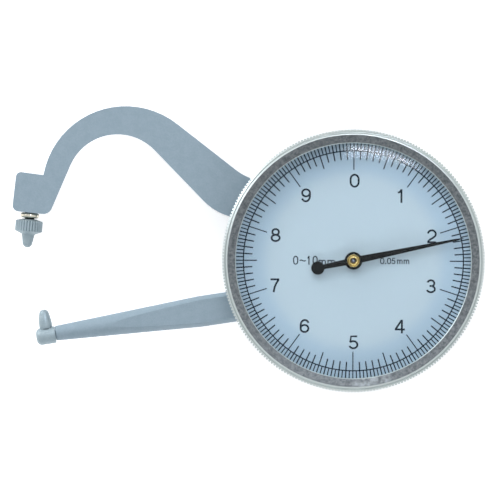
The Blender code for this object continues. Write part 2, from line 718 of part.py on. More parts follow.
def make_back_cover():
    """Make the back cover, with the holes for its screws, the shaft and the spring post."""
    profile = [
        (0.0, BACK_COVER_TOP),
        (CASE_RADIUS, BACK_COVER_TOP),
        (CASE_RADIUS, BACK_COVER_CHAMFER),
        (CASE_RADIUS - BACK_COVER_CHAMFER, 0.0),
        (0.0, 0.0),
    ]
    cover = turned("back_cover", profile, "cover_steel", steps=LARGE_STEPS)
    boss_top = ARM_BOTTOM - SWEEP_GAP
    boss_radius = PIVOT_SHAFT_RADIUS + COVER_BOSS_WALL
    join(cover, cutter_rod("cover_boss", boss_radius, BACK_COVER_TOP / 2, boss_top, PIVOT))
    shaft_hole = PIVOT_SHAFT_RADIUS + RUNNING_GAP
    cut(cover, cutter_rod("cover_shaft_hole", shaft_hole, SHAFT_BOTTOM - SEAT_GAP, ARM_LEVEL, PIVOT))
    post_hole = SPRING_POST_RADIUS + SEAT_GAP
    cut(cover, cutter_rod("spring_post_hole", post_hole, SHAFT_BOTTOM - SEAT_GAP, ARM_LEVEL, SPRING_POST))
    for index in range(SCREW_COUNT):
        spot = polar(COVER_SCREW_RING, SCREW_FIRST_ANGLE + math.tau * index / SCREW_COUNT)
        profile = countersunk_profile(SEAT_GAP)
        cutter = turned("countersink", profile, steps=MEDIUM_STEPS, collection=CUTTERS)
        cut(cover, place(cutter, spot))
    return cover


def countersunk_profile(gap):
    """Give the profile of a countersunk screw, or of its hole when a gap is left round it."""
    bottom = -OVERRUN if gap else 0.0
    return [
        (0.0, COVER_SCREW_LENGTH + gap),
        (COVER_SCREW_RADIUS + gap, COVER_SCREW_LENGTH + gap),
        (COVER_SCREW_RADIUS + gap, COVER_SCREW_HEAD_DEPTH + gap),
        (COVER_SCREW_HEAD_RADIUS + gap, gap),
        (COVER_SCREW_HEAD_RADIUS + gap, bottom),
        (0.0, bottom),
    ]


def make_cover_screws():
    """Make the back cover's countersunk screws."""
    profile = countersunk_profile(0.0)
    profile[3:] = [(COVER_SCREW_HEAD_RADIUS, COVER_SCREW_RECESS), (0.0, COVER_SCREW_RECESS)]
    spots = [polar(COVER_SCREW_RING, SCREW_FIRST_ANGLE + math.tau * index / SCREW_COUNT)
             for index in range(SCREW_COUNT)]
    turned_set("back_cover_screw", profile, spots, "steel")


def turned_set(name, profile, spots, material, parent=None):
    """Make equal turned pieces, one object for each spot."""
    for number, spot in enumerate(spots, start=1):
        piece = turned(f"{name}_{number}", profile, material, steps=SMALL_STEPS)
        place(piece, spot, parent=parent)


# Movement

def arbor_profile(top_shoulder, top_end):
    """Give the profile of an arbor that runs in the lower plate and the upper plate."""
    return [
        (0.0, top_end),
        (ARBOR_TIP_RADIUS, top_end),
        (ARBOR_TIP_RADIUS, top_shoulder),
        (ARBOR_RADIUS, top_shoulder),
        (ARBOR_RADIUS, LOWER_PLATE_TOP + SEAT_GAP),
        (ARBOR_TIP_RADIUS, LOWER_PLATE_TOP + SEAT_GAP),
        (ARBOR_TIP_RADIUS, LOWER_PLATE_BOTTOM),
        (0.0, LOWER_PLATE_BOTTOM),
    ]


def make_movement_plate(name, bottom, thickness, screw_hole):
    """Make a movement plate with its bearing holes and screw holes."""
    bearing = ARBOR_TIP_RADIUS + BEARING_CLEARANCE
    outlines = [circle(PLATE_RADIUS, MEDIUM_STEPS), circle(bearing, SMALL_STEPS),
                circle(bearing, SMALL_STEPS, INTERMEDIATE)]
    outlines += [circle(screw_hole, SMALL_STEPS, polar(PILLAR_RING, angle)) for angle in PILLAR_ANGLES]
    return place(solid_plate(name, outlines, thickness, "brass"), z=bottom)


def make_pillars():
    """Make the tubes that hold the movement plates apart."""
    bottom = LOWER_PLATE_TOP + SEAT_GAP
    top = UPPER_PLATE_BOTTOM - SEAT_GAP
    bore = MOVEMENT_SCREW_RADIUS + RUNNING_GAP
    profile = [(bore, top), (PILLAR_RADIUS, top), (PILLAR_RADIUS, bottom), (bore, bottom)]
    spots = [polar(PILLAR_RING, angle) for angle in PILLAR_ANGLES]
    turned_set("movement_pillar", profile, spots, "brass")


def make_movement_screws():
    """Make the screws that hold the movement to the case's web."""
    head_top = LOWER_PLATE_BOTTOM - SEAT_GAP
    top = SCREW_HOLE_TOP - SEAT_GAP
    profile = [
        (0.0, top),
        (MOVEMENT_SCREW_RADIUS, top),
        (MOVEMENT_SCREW_RADIUS, head_top),
        (MOVEMENT_SCREW_HEAD_RADIUS, head_top),
        (MOVEMENT_SCREW_HEAD_RADIUS, head_top - MOVEMENT_SCREW_HEAD_HEIGHT),
        (0.0, head_top - MOVEMENT_SCREW_HEAD_HEIGHT),
    ]
    spots = [polar(PILLAR_RING, angle) for angle in PILLAR_ANGLES]
    turned_set("movement_screw", profile, spots, "steel")


def make_pinion(name, gap_angle, bottom, face, shoulder, end):
    """Make a pinion cut in one piece with its arbor."""
    arbor = turned(name, arbor_profile(shoulder, end), "steel", steps=SMALL_STEPS)
    teeth = solid_plate(name + "_teeth", [pinion_teeth(gap_angle)], face, collection=CUTTERS)
    teeth.location.z = bottom
    join(arbor, teeth)
    return arbor, teeth


def make_intermediate():
    """Make the intermediate pinion and the wheel on its arbor."""
    carrier = make_empty("intermediate_axis", INTERMEDIATE)
    shoulder = UPPER_PLATE_BOTTOM - SEAT_GAP
    facing_pivot = MESH_ANGLE + math.pi
    pinion, teeth = make_pinion(
        "intermediate_pinion", facing_pivot, PINION_BOTTOM, PINION_FACE, shoulder, UPPER_PLATE_TOP)
    pinion.parent = carrier
    teeth.parent = carrier
    outlines = [wheel_teeth(WHEEL_TEETH, DRIVE_ANGLE, WHEEL_TEETH)]
    outlines.append(circle(ARBOR_RADIUS + SEAT_GAP, SMALL_STEPS))
    rim = GEAR_MODULE * WHEEL_TEETH / 2 * WHEEL_RIM_SHARE
    eye = GEAR_MODULE * WHEEL_TEETH / 2 * WHEEL_EYE_SHARE
    for index in range(WHEEL_SPOKES):
        middle = math.tau * index / WHEEL_SPOKES
        half = math.pi / WHEEL_SPOKES * WHEEL_WINDOW_SHARE
        outlines.append(ring_sector(eye, rim, middle - half, middle + half, 5))
    wheel = solid_plate("intermediate_wheel", outlines, WHEEL_THICKNESS, "brass")
    place(wheel, z=WHEEL_BOTTOM, parent=carrier)


def make_pointer_group():
    """Make what turns with the pointer: the centre pinion, the boss, the collet and the pointer."""
    carrier = make_empty("pointer_axis", (0.0, 0.0))
    shoulder = UPPER_PLATE_BOTTOM - SEAT_GAP
    facing_wheel = DRIVE_ANGLE + math.pi
    arbor_end = POINTER_TOP + BOSS_HEIGHT * ARBOR_END_SHARE
    pinion, teeth = make_pinion(
        "centre_pinion", facing_wheel, CENTRE_PINION_BOTTOM, CENTRE_PINION_FACE, shoulder, arbor_end)
    pinion.parent = carrier
    teeth.parent = carrier
    make_boss(carrier)
    make_pointer(carrier)
    collet_outlines = [circle(COLLET_RADIUS, SMALL_STEPS), circle(ARBOR_RADIUS + SEAT_GAP, SMALL_STEPS)]
    collet = solid_plate("hairspring_collet", collet_outlines, COLLET_HEIGHT, "brass")
    place(collet, z=HAIRSPRING_LEVEL - COLLET_HEIGHT / 2, parent=carrier)


def make_boss(carrier):
    """Make the brass boss that holds the pointer on the centre arbor."""
    bore = ARBOR_TIP_RADIUS + RUNNING_GAP
    flange_bottom = POINTER_TOP + SEAT_GAP
    rim_height = flange_bottom + BOSS_HEIGHT * BOSS_RIM_SHARE
    profile = [
        (bore, flange_bottom + BOSS_HEIGHT * BOSS_DISH_SHARE),
        (BOSS_SLEEVE_RADIUS, rim_height),
        (BOSS_FLANGE_RADIUS * BOSS_LIP_SHARE, flange_bottom + BOSS_HEIGHT),
        (BOSS_FLANGE_RADIUS, rim_height),
        (BOSS_FLANGE_RADIUS, flange_bottom),
        (BOSS_SLEEVE_RADIUS, flange_bottom),
        (BOSS_SLEEVE_RADIUS, DIAL_TOP),
        (bore, DIAL_TOP),
    ]
    boss = turned("pointer_boss", profile, "brass", steps=MEDIUM_STEPS)
    boss.parent = carrier


def make_pointer(carrier):
    """Make the pointer: hub, tapered blade, and a tail with its balance disc."""
    direction = math.pi / 2 - POINTER_READING / READING_PER_TURN * math.tau
    blade = [
        Vector((0.0, POINTER_ROOT_WIDTH / 2)),
        Vector((0.0, -POINTER_ROOT_WIDTH / 2)),
        Vector((POINTER_TIP_RADIUS, -POINTER_TIP_WIDTH / 2)),
        Vector((POINTER_TIP_RADIUS, POINTER_TIP_WIDTH / 2)),
    ]
    tail = [
        Vector((0.0, TAIL_ROOT_WIDTH / 2)),
        Vector((-TAIL_DISC_DISTANCE, TAIL_END_WIDTH / 2)),
        Vector((-TAIL_DISC_DISTANCE, -TAIL_END_WIDTH / 2)),
        Vector((0.0, -TAIL_ROOT_WIDTH / 2)),
    ]
    hub = circle(POINTER_HUB_RADIUS, MEDIUM_STEPS)
    pointer = solid_plate("pointer", [hub], POINTER_THICKNESS, "pointer_black")
    place(pointer, z=POINTER_BOTTOM, turn=direction, parent=carrier)
    disc = circle(TAIL_DISC_RADIUS, MEDIUM_STEPS, (-TAIL_DISC_DISTANCE, 0.0))
    for name, outline in (("blade", blade), ("tail", tail), ("tail_disc", disc)):
        piece = solid_plate("pointer_" + name, [outline], POINTER_THICKNESS, collection=CUTTERS)
        place(piece, z=POINTER_BOTTOM, turn=direction, parent=carrier)
        join(pointer, piece)
    bore = BOSS_SLEEVE_RADIUS + SEAT_GAP
    hole = cutter_rod("pointer_hole", bore, POINTER_BOTTOM - OVERRUN, POINTER_TOP + OVERRUN)
    hole.parent = carrier
    cut(pointer, hole)


def make_hairspring():
    """Make the flat spiral spring that takes up the play, and the stud that holds its end."""
    start = COLLET_RADIUS + HAIRSPRING_WIRE_RADIUS + SEAT_GAP
    turn_points = SMALL_STEPS
    count = HAIRSPRING_TURNS * turn_points
    points = []
    for index in range(count + 1):
        turns = index / turn_points
        spot = polar(start + HAIRSPRING_PITCH * turns, math.tau * turns)
        points.append((spot.x, spot.y, HAIRSPRING_LEVEL))
    wire("hairspring", points, HAIRSPRING_WIRE_RADIUS, "spring_steel", sides_level=0)
    end_radius = start + HAIRSPRING_PITCH * HAIRSPRING_TURNS
    stud_place = Vector((end_radius + STUD_RADIUS + HAIRSPRING_WIRE_RADIUS + SEAT_GAP, 0.0))
    stud_bottom = HAIRSPRING_LEVEL - COLLET_HEIGHT / 2
    rod("hairspring_stud", STUD_RADIUS, stud_bottom, UPPER_PLATE_BOTTOM - SEAT_GAP,
        stud_place, "brass", steps=SMALL_STEPS)


# Moving arm

def block_corner(across, along, rounding):
    """Place a corner of the block from the anvil's seat, measured from the pivot."""
    spot = ANVIL_SEAT - PIVOT + ANVIL_ACROSS * across + ANVIL_UP * along
    return (spot.x, spot.y, rounding)


def make_arm_outline():
    """List the moving arm's outline about its pivot, from the block to the thumb head."""
    block = [block_corner(*corner) for corner in BLOCK_CORNERS]
    inner = [(x * REACH, y * REACH, r * REACH) for x, y, r in ARCH_INNER_SHARES]
    outer = [(x * REACH, y * REACH, r * REACH) for x, y, r in ARCH_OUTER_SHARES]
    head_radius = CASE_RADIUS + THUMB_HEAD_CLEARANCE + THUMB_HEAD_THICKNESS * TAIL_END_SHARE
    tail_end = polar(head_radius, THUMB_HEAD_ANGLE) - PIVOT
    along = tail_end.normalized()
    left = Vector((-along.y, along.x)) * (TAIL_WIDTH / 2)
    root_in = Vector(inner[1][:2])
    hub = hub_corner(Vector((0.0, 0.0)), HUB_RADIUS, root_in, tail_end - left)
    root_out = Vector(outer[0][:2])
    reach_up = (root_out.y - left.y) / along.y
    junction = left + along * reach_up
    middle = [
        (hub.x, hub.y, HUB_RADIUS),
        (*(tail_end - left), ARM_EDGE_CHAMFER),
        (*(tail_end + left), ARM_EDGE_CHAMFER),
        (*junction, TAIL_WIDTH / 2),
    ]
    return rounded(block + inner + middle + outer + [block_corner(*BLOCK_NOTCH)])


def make_moving_arm():
    """Make the moving arm with its thumb head, bored for the shaft and the anvil."""
    carrier = make_empty("arm_pivot_axis", PIVOT)
    arm = solid_plate("moving_arm", [make_arm_outline()], ARM_THICKNESS, "arm_paint")
    place(arm, z=ARM_BOTTOM, parent=carrier)
    bevel = arm.modifiers.new("edge", "BEVEL")
    bevel.width = ARM_EDGE_CHAMFER
    bevel.segments = 1
    bevel.limit_method = "ANGLE"
    bevel.angle_limit = math.radians(60)
    inner = CASE_RADIUS + THUMB_HEAD_CLEARANCE
    first = THUMB_HEAD_ANGLE - THUMB_HEAD_SPREAD
    last = THUMB_HEAD_ANGLE + THUMB_HEAD_SPREAD
    outline = ring_sector(inner, inner + THUMB_HEAD_THICKNESS, first, last, 10)
    outline = [point - PIVOT for point in outline]
    head = solid_plate("thumb_head", [outline], THUMB_HEAD_HEIGHT, collection=CUTTERS)
    place(head, z=ARM_LEVEL - THUMB_HEAD_HEIGHT / 2, parent=carrier)
    join(arm, head)
    bore = cutter_rod("hub_bore", PIVOT_SHAFT_RADIUS + RUNNING_GAP, ARM_BOTTOM - OVERRUN, ARM_TOP + OVERRUN)
    bore.parent = carrier
    cut(arm, bore)
    anvil_bore = turned("anvil_bore", anvil_bore_profile(), steps=MEDIUM_STEPS, collection=CUTTERS)
    cut(arm, along_anvil(anvil_bore))
    for spot in sector_screw_spots():
        radius = MOVEMENT_SCREW_RADIUS + RUNNING_GAP
        bottom = ARM_TOP - SECTOR_SCREW_DEPTH - SEAT_GAP
        hole = cutter_rod("sector_screw_hole", radius, bottom, ARM_TOP + OVERRUN, spot, steps=SMALL_STEPS)
        hole.parent = carrier
        cut(arm, hole)
    make_arm_spring_pin(arm, carrier)
    return carrier


def make_arm_spring_pin(arm, carrier):
    """Make the pin under the hub that takes the return spring's hook."""
    spot = SPRING_ARM_POINT - PIVOT
    pin_top = ARM_BOTTOM + SPRING_PIN_DEPTH
    hole = cutter_rod("spring_pin_hole", SPRING_POST_RADIUS + SEAT_GAP, 0.0, pin_top + SEAT_GAP, spot)
    hole.parent = carrier
    cut(arm, hole)
    profile = [
        (0.0, pin_top),
        (SPRING_POST_RADIUS, pin_top),
        (SPRING_POST_RADIUS, SPRING_PIN_BOTTOM),
        (0.0, SPRING_PIN_BOTTOM),
    ]
    pin = turned("arm_spring_pin", profile, "steel", steps=SMALL_STEPS)
    place(pin, spot, parent=carrier)


def sector_screw_spots():
    """Give the places of the sector's screws about the pivot."""
    ring = (PIVOT_SHAFT_RADIUS + HUB_RADIUS) / 2
    return [polar(ring, MESH_ANGLE + math.pi / 2), polar(ring, MESH_ANGLE - math.pi / 2)]


def make_sector(carrier):
    """Make the toothed sector that rides on the moving arm's hub, and its screws."""
    pitch_angle = math.tau / SECTOR_TEETH_IN_FULL_TURN
    teeth_before = math.ceil((TRAVEL / pitch_angle + SECTOR_TEETH) / 2)
    first = MESH_ANGLE - pitch_angle * teeth_before
    teeth = wheel_teeth(SECTOR_TEETH_IN_FULL_TURN, first, SECTOR_TEETH)
    middle = first + pitch_angle * (SECTOR_TEETH - 1) / 2
    back = arc(HUB_RADIUS, middle + math.pi / 2, middle + math.pi * 3 / 2, SMALL_STEPS)
    window_half = pitch_angle * SECTOR_TEETH / 2 * SECTOR_WINDOW_SHARE
    pitch_radius = GEAR_MODULE * SECTOR_TEETH_IN_FULL_TURN / 2
    window = ring_sector(
        pitch_radius * SECTOR_EYE_SHARE, pitch_radius * SECTOR_RIM_SHARE,
        middle - window_half, middle + window_half, 7)
    outlines = [teeth + back, window, circle(PIVOT_SHAFT_RADIUS + RUNNING_GAP, SMALL_STEPS)]
    hole = MOVEMENT_SCREW_RADIUS + SEAT_GAP
    outlines += [circle(hole, SMALL_STEPS, spot) for spot in sector_screw_spots()]
    sector = solid_plate("sector_gear", outlines, SECTOR_THICKNESS, "brass")
    place(sector, z=SECTOR_BOTTOM, parent=carrier)
    head_bottom = SECTOR_TOP + SEAT_GAP
    profile = [
        (0.0, head_bottom + SECTOR_SCREW_HEAD_HEIGHT),
        (SECTOR_SCREW_HEAD_RADIUS, head_bottom + SECTOR_SCREW_HEAD_HEIGHT),
        (SECTOR_SCREW_HEAD_RADIUS, head_bottom),
        (MOVEMENT_SCREW_RADIUS, head_bottom),
        (MOVEMENT_SCREW_RADIUS, ARM_TOP - SECTOR_SCREW_DEPTH),
        (0.0, ARM_TOP - SECTOR_SCREW_DEPTH),
    ]
    turned_set("sector_screw", profile, sector_screw_spots(), "steel", carrier)


def make_pivot_shaft():
    """Make the shaft that the moving arm turns on."""
    rod("pivot_shaft", PIVOT_SHAFT_RADIUS, SHAFT_BOTTOM, SHAFT_TOP, PIVOT, "steel")


def along_anvil(obj):
    """Stand a turned object on the anvil's axis, its foot at the anvil's tip."""
    obj.location = (ANVIL_TIP.x, ANVIL_TIP.y, ARM_LEVEL)
    obj.rotation_euler = (-math.pi / 2, 0.0, -ANVIL_LEAN)
    return obj


def anvil_bore_profile():
    """Give the profile of the threaded hole in the moving arm's block."""
    top = ANVIL_PIN_LENGTH + COLLAR_LENGTH + SHANK_LENGTH + SEAT_GAP * 2
    radius = SHANK_RADIUS + RUNNING_GAP
    return [(0.0, top), (radius, top), (radius, COLLAR_LENGTH), (0.0, COLLAR_LENGTH)]


def make_anvil():
    """Make the adjustable anvil: contact pin, fluted collar and shank, turned in one piece."""
    collar_bottom = ANVIL_PIN_LENGTH
    collar_top = collar_bottom + COLLAR_LENGTH
    shank_top = collar_top + SHANK_LENGTH
    cone = COLLAR_RADIUS * COLLAR_CONE_SHARE
    core = COLLAR_RADIUS - COLLAR_FLUTE_DEPTH
    profile = [
        (0.0, shank_top),
        (SHANK_RADIUS, shank_top),
        (SHANK_RADIUS, collar_top),
        (cone, collar_top),
        (core, collar_top - COLLAR_TOP_CHAMFER),
        (core, collar_bottom + COLLAR_BOTTOM_CHAMFER),
        (ANVIL_PIN_RADIUS, collar_bottom),
        (ANVIL_TIP_RADIUS, ANVIL_TIP_RADIUS),
    ]
    for index in range(1, TIP_STEPS):
        angle = math.pi / 2 * index / TIP_STEPS
        profile.append((ANVIL_TIP_RADIUS * math.cos(angle), ANVIL_TIP_RADIUS * (1 - math.sin(angle))))
    profile.append((0.0, 0.0))
    anvil = along_anvil(turned("anvil_spindle", profile, "arm_paint", steps=COLLAR_FLUTES))
    flutes = make_collar_flutes(collar_bottom, collar_top)
    join(anvil, flutes)


def make_collar_flutes(collar_bottom, collar_top):
    """Make the fluted grip of the collar, a star-shaped prism round its core."""
    outline = []
    core = COLLAR_RADIUS - COLLAR_FLUTE_DEPTH
    for index in range(COLLAR_FLUTES):
        middle = math.tau * index / COLLAR_FLUTES
        quarter = math.tau / COLLAR_FLUTES / 4
        outline.append(polar(core * GRIP_ROOT_SHARE, middle - quarter * 2))
        outline.append(polar(COLLAR_RADIUS, middle - quarter))
        outline.append(polar(COLLAR_RADIUS, middle + quarter))
    height = COLLAR_LENGTH - COLLAR_TOP_CHAMFER - COLLAR_BOTTOM_CHAMFER
    grip = solid_plate("collar_grip", [outline], height, collection=CUTTERS)
    base = collar_bottom + COLLAR_BOTTOM_CHAMFER
    start = ANVIL_TIP + ANVIL_UP * base
    grip.location = (start.x, start.y, ARM_LEVEL)
    grip.rotation_euler = (-math.pi / 2, 0.0, -ANVIL_LEAN)
    return grip


def make_lock_nut():
    """Make the round lock nut between the collar and the block."""
    bottom = ANVIL_PIN_LENGTH + COLLAR_LENGTH + LOCK_NUT_STANDOFF
    top = bottom + LOCK_NUT_LENGTH
    bore = SHANK_RADIUS + RUNNING_GAP
    edge = LOCK_NUT_LENGTH / 2
    flat = LOCK_NUT_RADIUS - edge
    profile = [(bore, top)]
    for index in range(NUT_STEPS + 1):
        angle = math.pi / 2 - math.pi * index / NUT_STEPS
        profile.append((flat + edge * math.cos(angle), bottom + edge + edge * math.sin(angle)))
    profile.append((bore, bottom))
    along_anvil(turned("lock_nut", profile, "chrome", steps=MEDIUM_STEPS))


def make_return_spring():
    """Make the spring that closes the jaws, its post and the wire with straight ends."""
    span = SPRING_POST - SPRING_ARM_POINT
    along = span.normalized()
    across = Vector((-along.y, along.x))
    coil_start = SPRING_ARM_POINT + along * (span.length - SPRING_LENGTH - SPRING_HOOK)
    points = []
    near = SPRING_ARM_POINT + along * (SPRING_POST_RADIUS + SPRING_WIRE_RADIUS + SEAT_GAP)
    points.append((near.x, near.y, SPRING_HOOK_LEVEL))
    steps = 8
    for index in range(SPRING_TURNS * steps + 1):
        angle = math.tau * index / steps
        spot = coil_start + along * (SPRING_LENGTH * index / (SPRING_TURNS * steps))
        spot = spot + across * (SPRING_COIL_RADIUS * math.sin(angle))
        points.append((spot.x, spot.y, SPRING_LEVEL - SPRING_COIL_RADIUS * math.cos(angle)))
    far = SPRING_POST - along * (SPRING_POST_RADIUS + SPRING_WIRE_RADIUS + SEAT_GAP)
    points.append((far.x, far.y, SPRING_HOOK_LEVEL))
    wire("return_spring", points, SPRING_WIRE_RADIUS, "spring_steel", sides_level=0)
    post_top = SPRING_LEVEL + SPRING_COIL_RADIUS
    rod("spring_post", SPRING_POST_RADIUS, SHAFT_BOTTOM, post_top, SPRING_POST, "steel", steps=SMALL_STEPS)


# Fixed arm

def make_fixed_arm():
    """Make the fixed arm: spigot, round root, long taper, front flat and end hole."""
    end_hole = CAP_STUD_RADIUS + SEAT_GAP
    hole_bottom = FIXED_ARM_END - CAP_STUD_LENGTH - SEAT_GAP
    profile = [
        (0.0, hole_bottom),
        (end_hole, hole_bottom),
        (end_hole, FIXED_ARM_END),
        (FIXED_ARM_END_RADIUS, FIXED_ARM_END),
        (FIXED_ARM_RADIUS, TAPER_START),
        (FIXED_ARM_RADIUS, SHOULDER_PLACE),
        (FIXED_ARM_SPIGOT_RADIUS, SHOULDER_PLACE),
        (FIXED_ARM_SPIGOT_RADIUS, SPIGOT_END),
        (0.0, SPIGOT_END),
    ]
    arm = along_fixed_arm(turned("fixed_arm", profile, "arm_paint", steps=MEDIUM_STEPS))
    flat_start = CASE_RADIUS
    outline = [
        Vector((-TAPER_START - FIXED_ARM_TAPER_LENGTH, -FIXED_ARM_RADIUS - OVERRUN)),
        Vector((-flat_start, -FIXED_ARM_RADIUS - OVERRUN)),
        Vector((-flat_start, FIXED_ARM_RADIUS + OVERRUN)),
        Vector((-TAPER_START - FIXED_ARM_TAPER_LENGTH, FIXED_ARM_RADIUS + OVERRUN)),
    ]
    flat = solid_plate("front_flat", [outline], FIXED_ARM_RADIUS, collection=CUTTERS)
    origin = FIXED_ARM_DOWN * FIXED_ARM_OFFSET
    cut(arm, place(flat, origin, ARM_LEVEL + FIXED_ARM_FLAT_HEIGHT, FIXED_ARM_ANGLE))
    for offset in ARM_PIN_PLACES:
        spot = fixed_arm_point(offset)
        cut(arm, cutter_rod("arm_pin_bore", ARM_PIN_RADIUS + SEAT_GAP, 0.0, ARM_PIN_TOP, spot))
    spots = [fixed_arm_point(offset) for offset in ARM_PIN_PLACES]
    pin = [
        (0.0, ARM_PIN_TOP - SEAT_GAP),
        (ARM_PIN_RADIUS, ARM_PIN_TOP - SEAT_GAP),
        (ARM_PIN_RADIUS, CASE_BOTTOM),
        (0.0, CASE_BOTTOM),
    ]
    turned_set("fixed_arm_pin", pin, spots, "steel")


def make_cap():
    """Make the cap that screws into the fixed arm's end and carries the stylus."""
    end = CAP_START + CAP_LENGTH
    profile = [
        (0.0, end),
        (CAP_RADIUS - CAP_CHAMFER * 2, end),
        (CAP_RADIUS, end - CAP_CHAMFER),
        (CAP_RADIUS, CAP_START),
        (CAP_STUD_RADIUS, CAP_START),
        (CAP_STUD_RADIUS, FIXED_ARM_END - CAP_STUD_LENGTH),
        (0.0, FIXED_ARM_END - CAP_STUD_LENGTH),
    ]
    cap = along_fixed_arm(turned("stylus_cap", profile, "arm_paint", steps=MEDIUM_STEPS))
    seat_radius = STYLUS_BASE_RADIUS + SEAT_GAP
    hole_radius = STYLUS_SHANK_RADIUS + SEAT_GAP
    seat = [
        (0.0, STYLUS_HEIGHT),
        (seat_radius, STYLUS_HEIGHT),
        (seat_radius, STYLUS_SEAT_HEIGHT - SEAT_GAP),
        (hole_radius, STYLUS_SEAT_HEIGHT - SEAT_GAP),
        (hole_radius, -STYLUS_SHANK_RADIUS),
        (0.0, -STYLUS_SHANK_RADIUS),
    ]
    cut(cap, across_fixed_arm(turned("stylus_seat", seat, steps=MEDIUM_STEPS, collection=CUTTERS)))


def across_fixed_arm(obj):
    """Stand a turned object on the cap, square to the fixed arm and towards the anvil."""
    middle = fixed_arm_point(STYLUS_PLACE)
    obj.location = (middle.x, middle.y, ARM_LEVEL)
    obj.rotation_euler = (-math.pi / 2, 0.0, FIXED_ARM_ANGLE)
    return obj


def make_stylus():
    """Make the stylus, a tapered pin with a round tip and a shank in the cap."""
    dome = STYLUS_HEIGHT - STYLUS_TIP_RADIUS
    profile = []
    for index in range(TIP_STEPS):
        angle = math.pi / 2 * (1 - index / TIP_STEPS)
        profile.append((STYLUS_TIP_RADIUS * math.cos(angle), dome + STYLUS_TIP_RADIUS * math.sin(angle)))
    profile[0] = (0.0, STYLUS_HEIGHT)
    profile += [
        (STYLUS_TIP_RADIUS, dome),
        (STYLUS_BASE_RADIUS, STYLUS_SEAT_HEIGHT),
        (STYLUS_SHANK_RADIUS, STYLUS_SEAT_HEIGHT),
        (STYLUS_SHANK_RADIUS, 0.0),
        (0.0, 0.0),
    ]
    across_fixed_arm(turned("stylus", profile, "arm_paint", steps=MEDIUM_STEPS))


# Bezel, dial and crystal

def make_bezel(carrier):
    """Make the bezel ring, its rim knurled all round."""
    face_top = BEZEL_BOTTOM + BEZEL_HEIGHT
    groove_middle = (PARTITION_TOP + CASE_SHOULDER) / 2
    groove_half = RETAINER_WIRE / 2 + RUNNING_GAP
    bore = SPIGOT_RADIUS + RUNNING_GAP
    groove = bore + RETAINER_DEPTH
    core = BEZEL_RADIUS - KNURL_DEPTH * 2
    profile = [
        (BORE_RADIUS, face_top - FACE_RING_DROP),
        (FACE_OUTER_RADIUS, face_top),
        (core, face_top - RIM_CHAMFER_DROP),
        (core, BEZEL_BOTTOM + BEZEL_FOOT_CHAMFER),
        (core - BEZEL_FOOT_CHAMFER, BEZEL_BOTTOM),
        (bore, BEZEL_BOTTOM),
        (bore, groove_middle - groove_half),
        (groove, groove_middle - groove_half),
        (groove, groove_middle + groove_half),
        (bore, groove_middle + groove_half),
        (bore, LEDGE_BOTTOM),
        (BORE_RADIUS - LEDGE_WIDTH, LEDGE_BOTTOM),
        (BORE_RADIUS - LEDGE_WIDTH, LEDGE_TOP),
        (BORE_RADIUS, LEDGE_TOP),
    ]
    bezel = turned("bezel_ring", profile, "bezel_chrome", steps=LARGE_STEPS)
    bezel.parent = carrier
    grip_bottom = BEZEL_BOTTOM + BEZEL_FOOT_CHAMFER
    grip_top = face_top - RIM_CHAMFER_DROP
    outline = []
    for index in range(KNURL_COUNT):
        middle = math.tau * index / KNURL_COUNT
        half = math.pi / KNURL_COUNT
        outline.append(polar(BEZEL_RADIUS - KNURL_DEPTH, middle - half))
        outline.append(polar(BEZEL_RADIUS, middle))
    inner = circle((core + BORE_RADIUS) / 2, LARGE_STEPS)
    grip = solid_plate("bezel_grip", [outline, inner], grip_top - grip_bottom, collection=CUTTERS)
    place(grip, z=grip_bottom, parent=carrier)
    join(bezel, grip)
    wire_outer = bore + RETAINER_DEPTH - RUNNING_GAP
    wire_inner = SPIGOT_RADIUS - RETAINER_DEPTH
    retainer = [
        (wire_inner, groove_middle + RETAINER_WIRE / 2),
        (wire_outer, groove_middle + RETAINER_WIRE / 2),
        (wire_outer, groove_middle - RETAINER_WIRE / 2),
        (wire_inner, groove_middle - RETAINER_WIRE / 2),
    ]
    turned("bezel_retaining_ring", retainer, "spring_steel", steps=LARGE_STEPS).parent = carrier


def make_dial(carrier):
    """Make the dial plate, its spacer ring and the domed crystal."""
    dial_radius = BORE_RADIUS - SEAT_GAP
    outlines = [circle(dial_radius, LARGE_STEPS), circle(DIAL_HOLE_RADIUS, SMALL_STEPS)]
    dial = solid_plate("dial_plate", outlines, DIAL_THICKNESS, "dial_card")
    place(dial, z=DIAL_BOTTOM, parent=carrier)
    spacer = [
        (dial_radius - SPACER_WIDTH, SPACER_BOTTOM + SPACER_HEIGHT),
        (dial_radius, SPACER_BOTTOM + SPACER_HEIGHT),
        (dial_radius, SPACER_BOTTOM),
        (dial_radius - SPACER_WIDTH, SPACER_BOTTOM),
    ]
    turned("dial_spacer_ring", spacer, "steel", steps=LARGE_STEPS).parent = carrier
    crystal = turned("crystal", crystal_profile(dial_radius), "crystal_clear", steps=LARGE_STEPS)
    crystal.parent = carrier


def crystal_profile(radius):
    """Give the crystal's profile: an even dome with a straight edge."""
    sphere = (radius ** 2 + CRYSTAL_RISE ** 2) / (2 * CRYSTAL_RISE)
    outer = []
    for index in range(DOME_STEPS + 1):
        reach = radius * index / DOME_STEPS
        outer.append((reach, math.sqrt(sphere ** 2 - reach ** 2) - sphere + CRYSTAL_RISE))
    upper = [(reach, CRYSTAL_BOTTOM + CRYSTAL_THICKNESS + rise) for reach, rise in outer]
    lower = [(reach, CRYSTAL_BOTTOM + rise) for reach, rise in reversed(outer)]
    return upper + lower


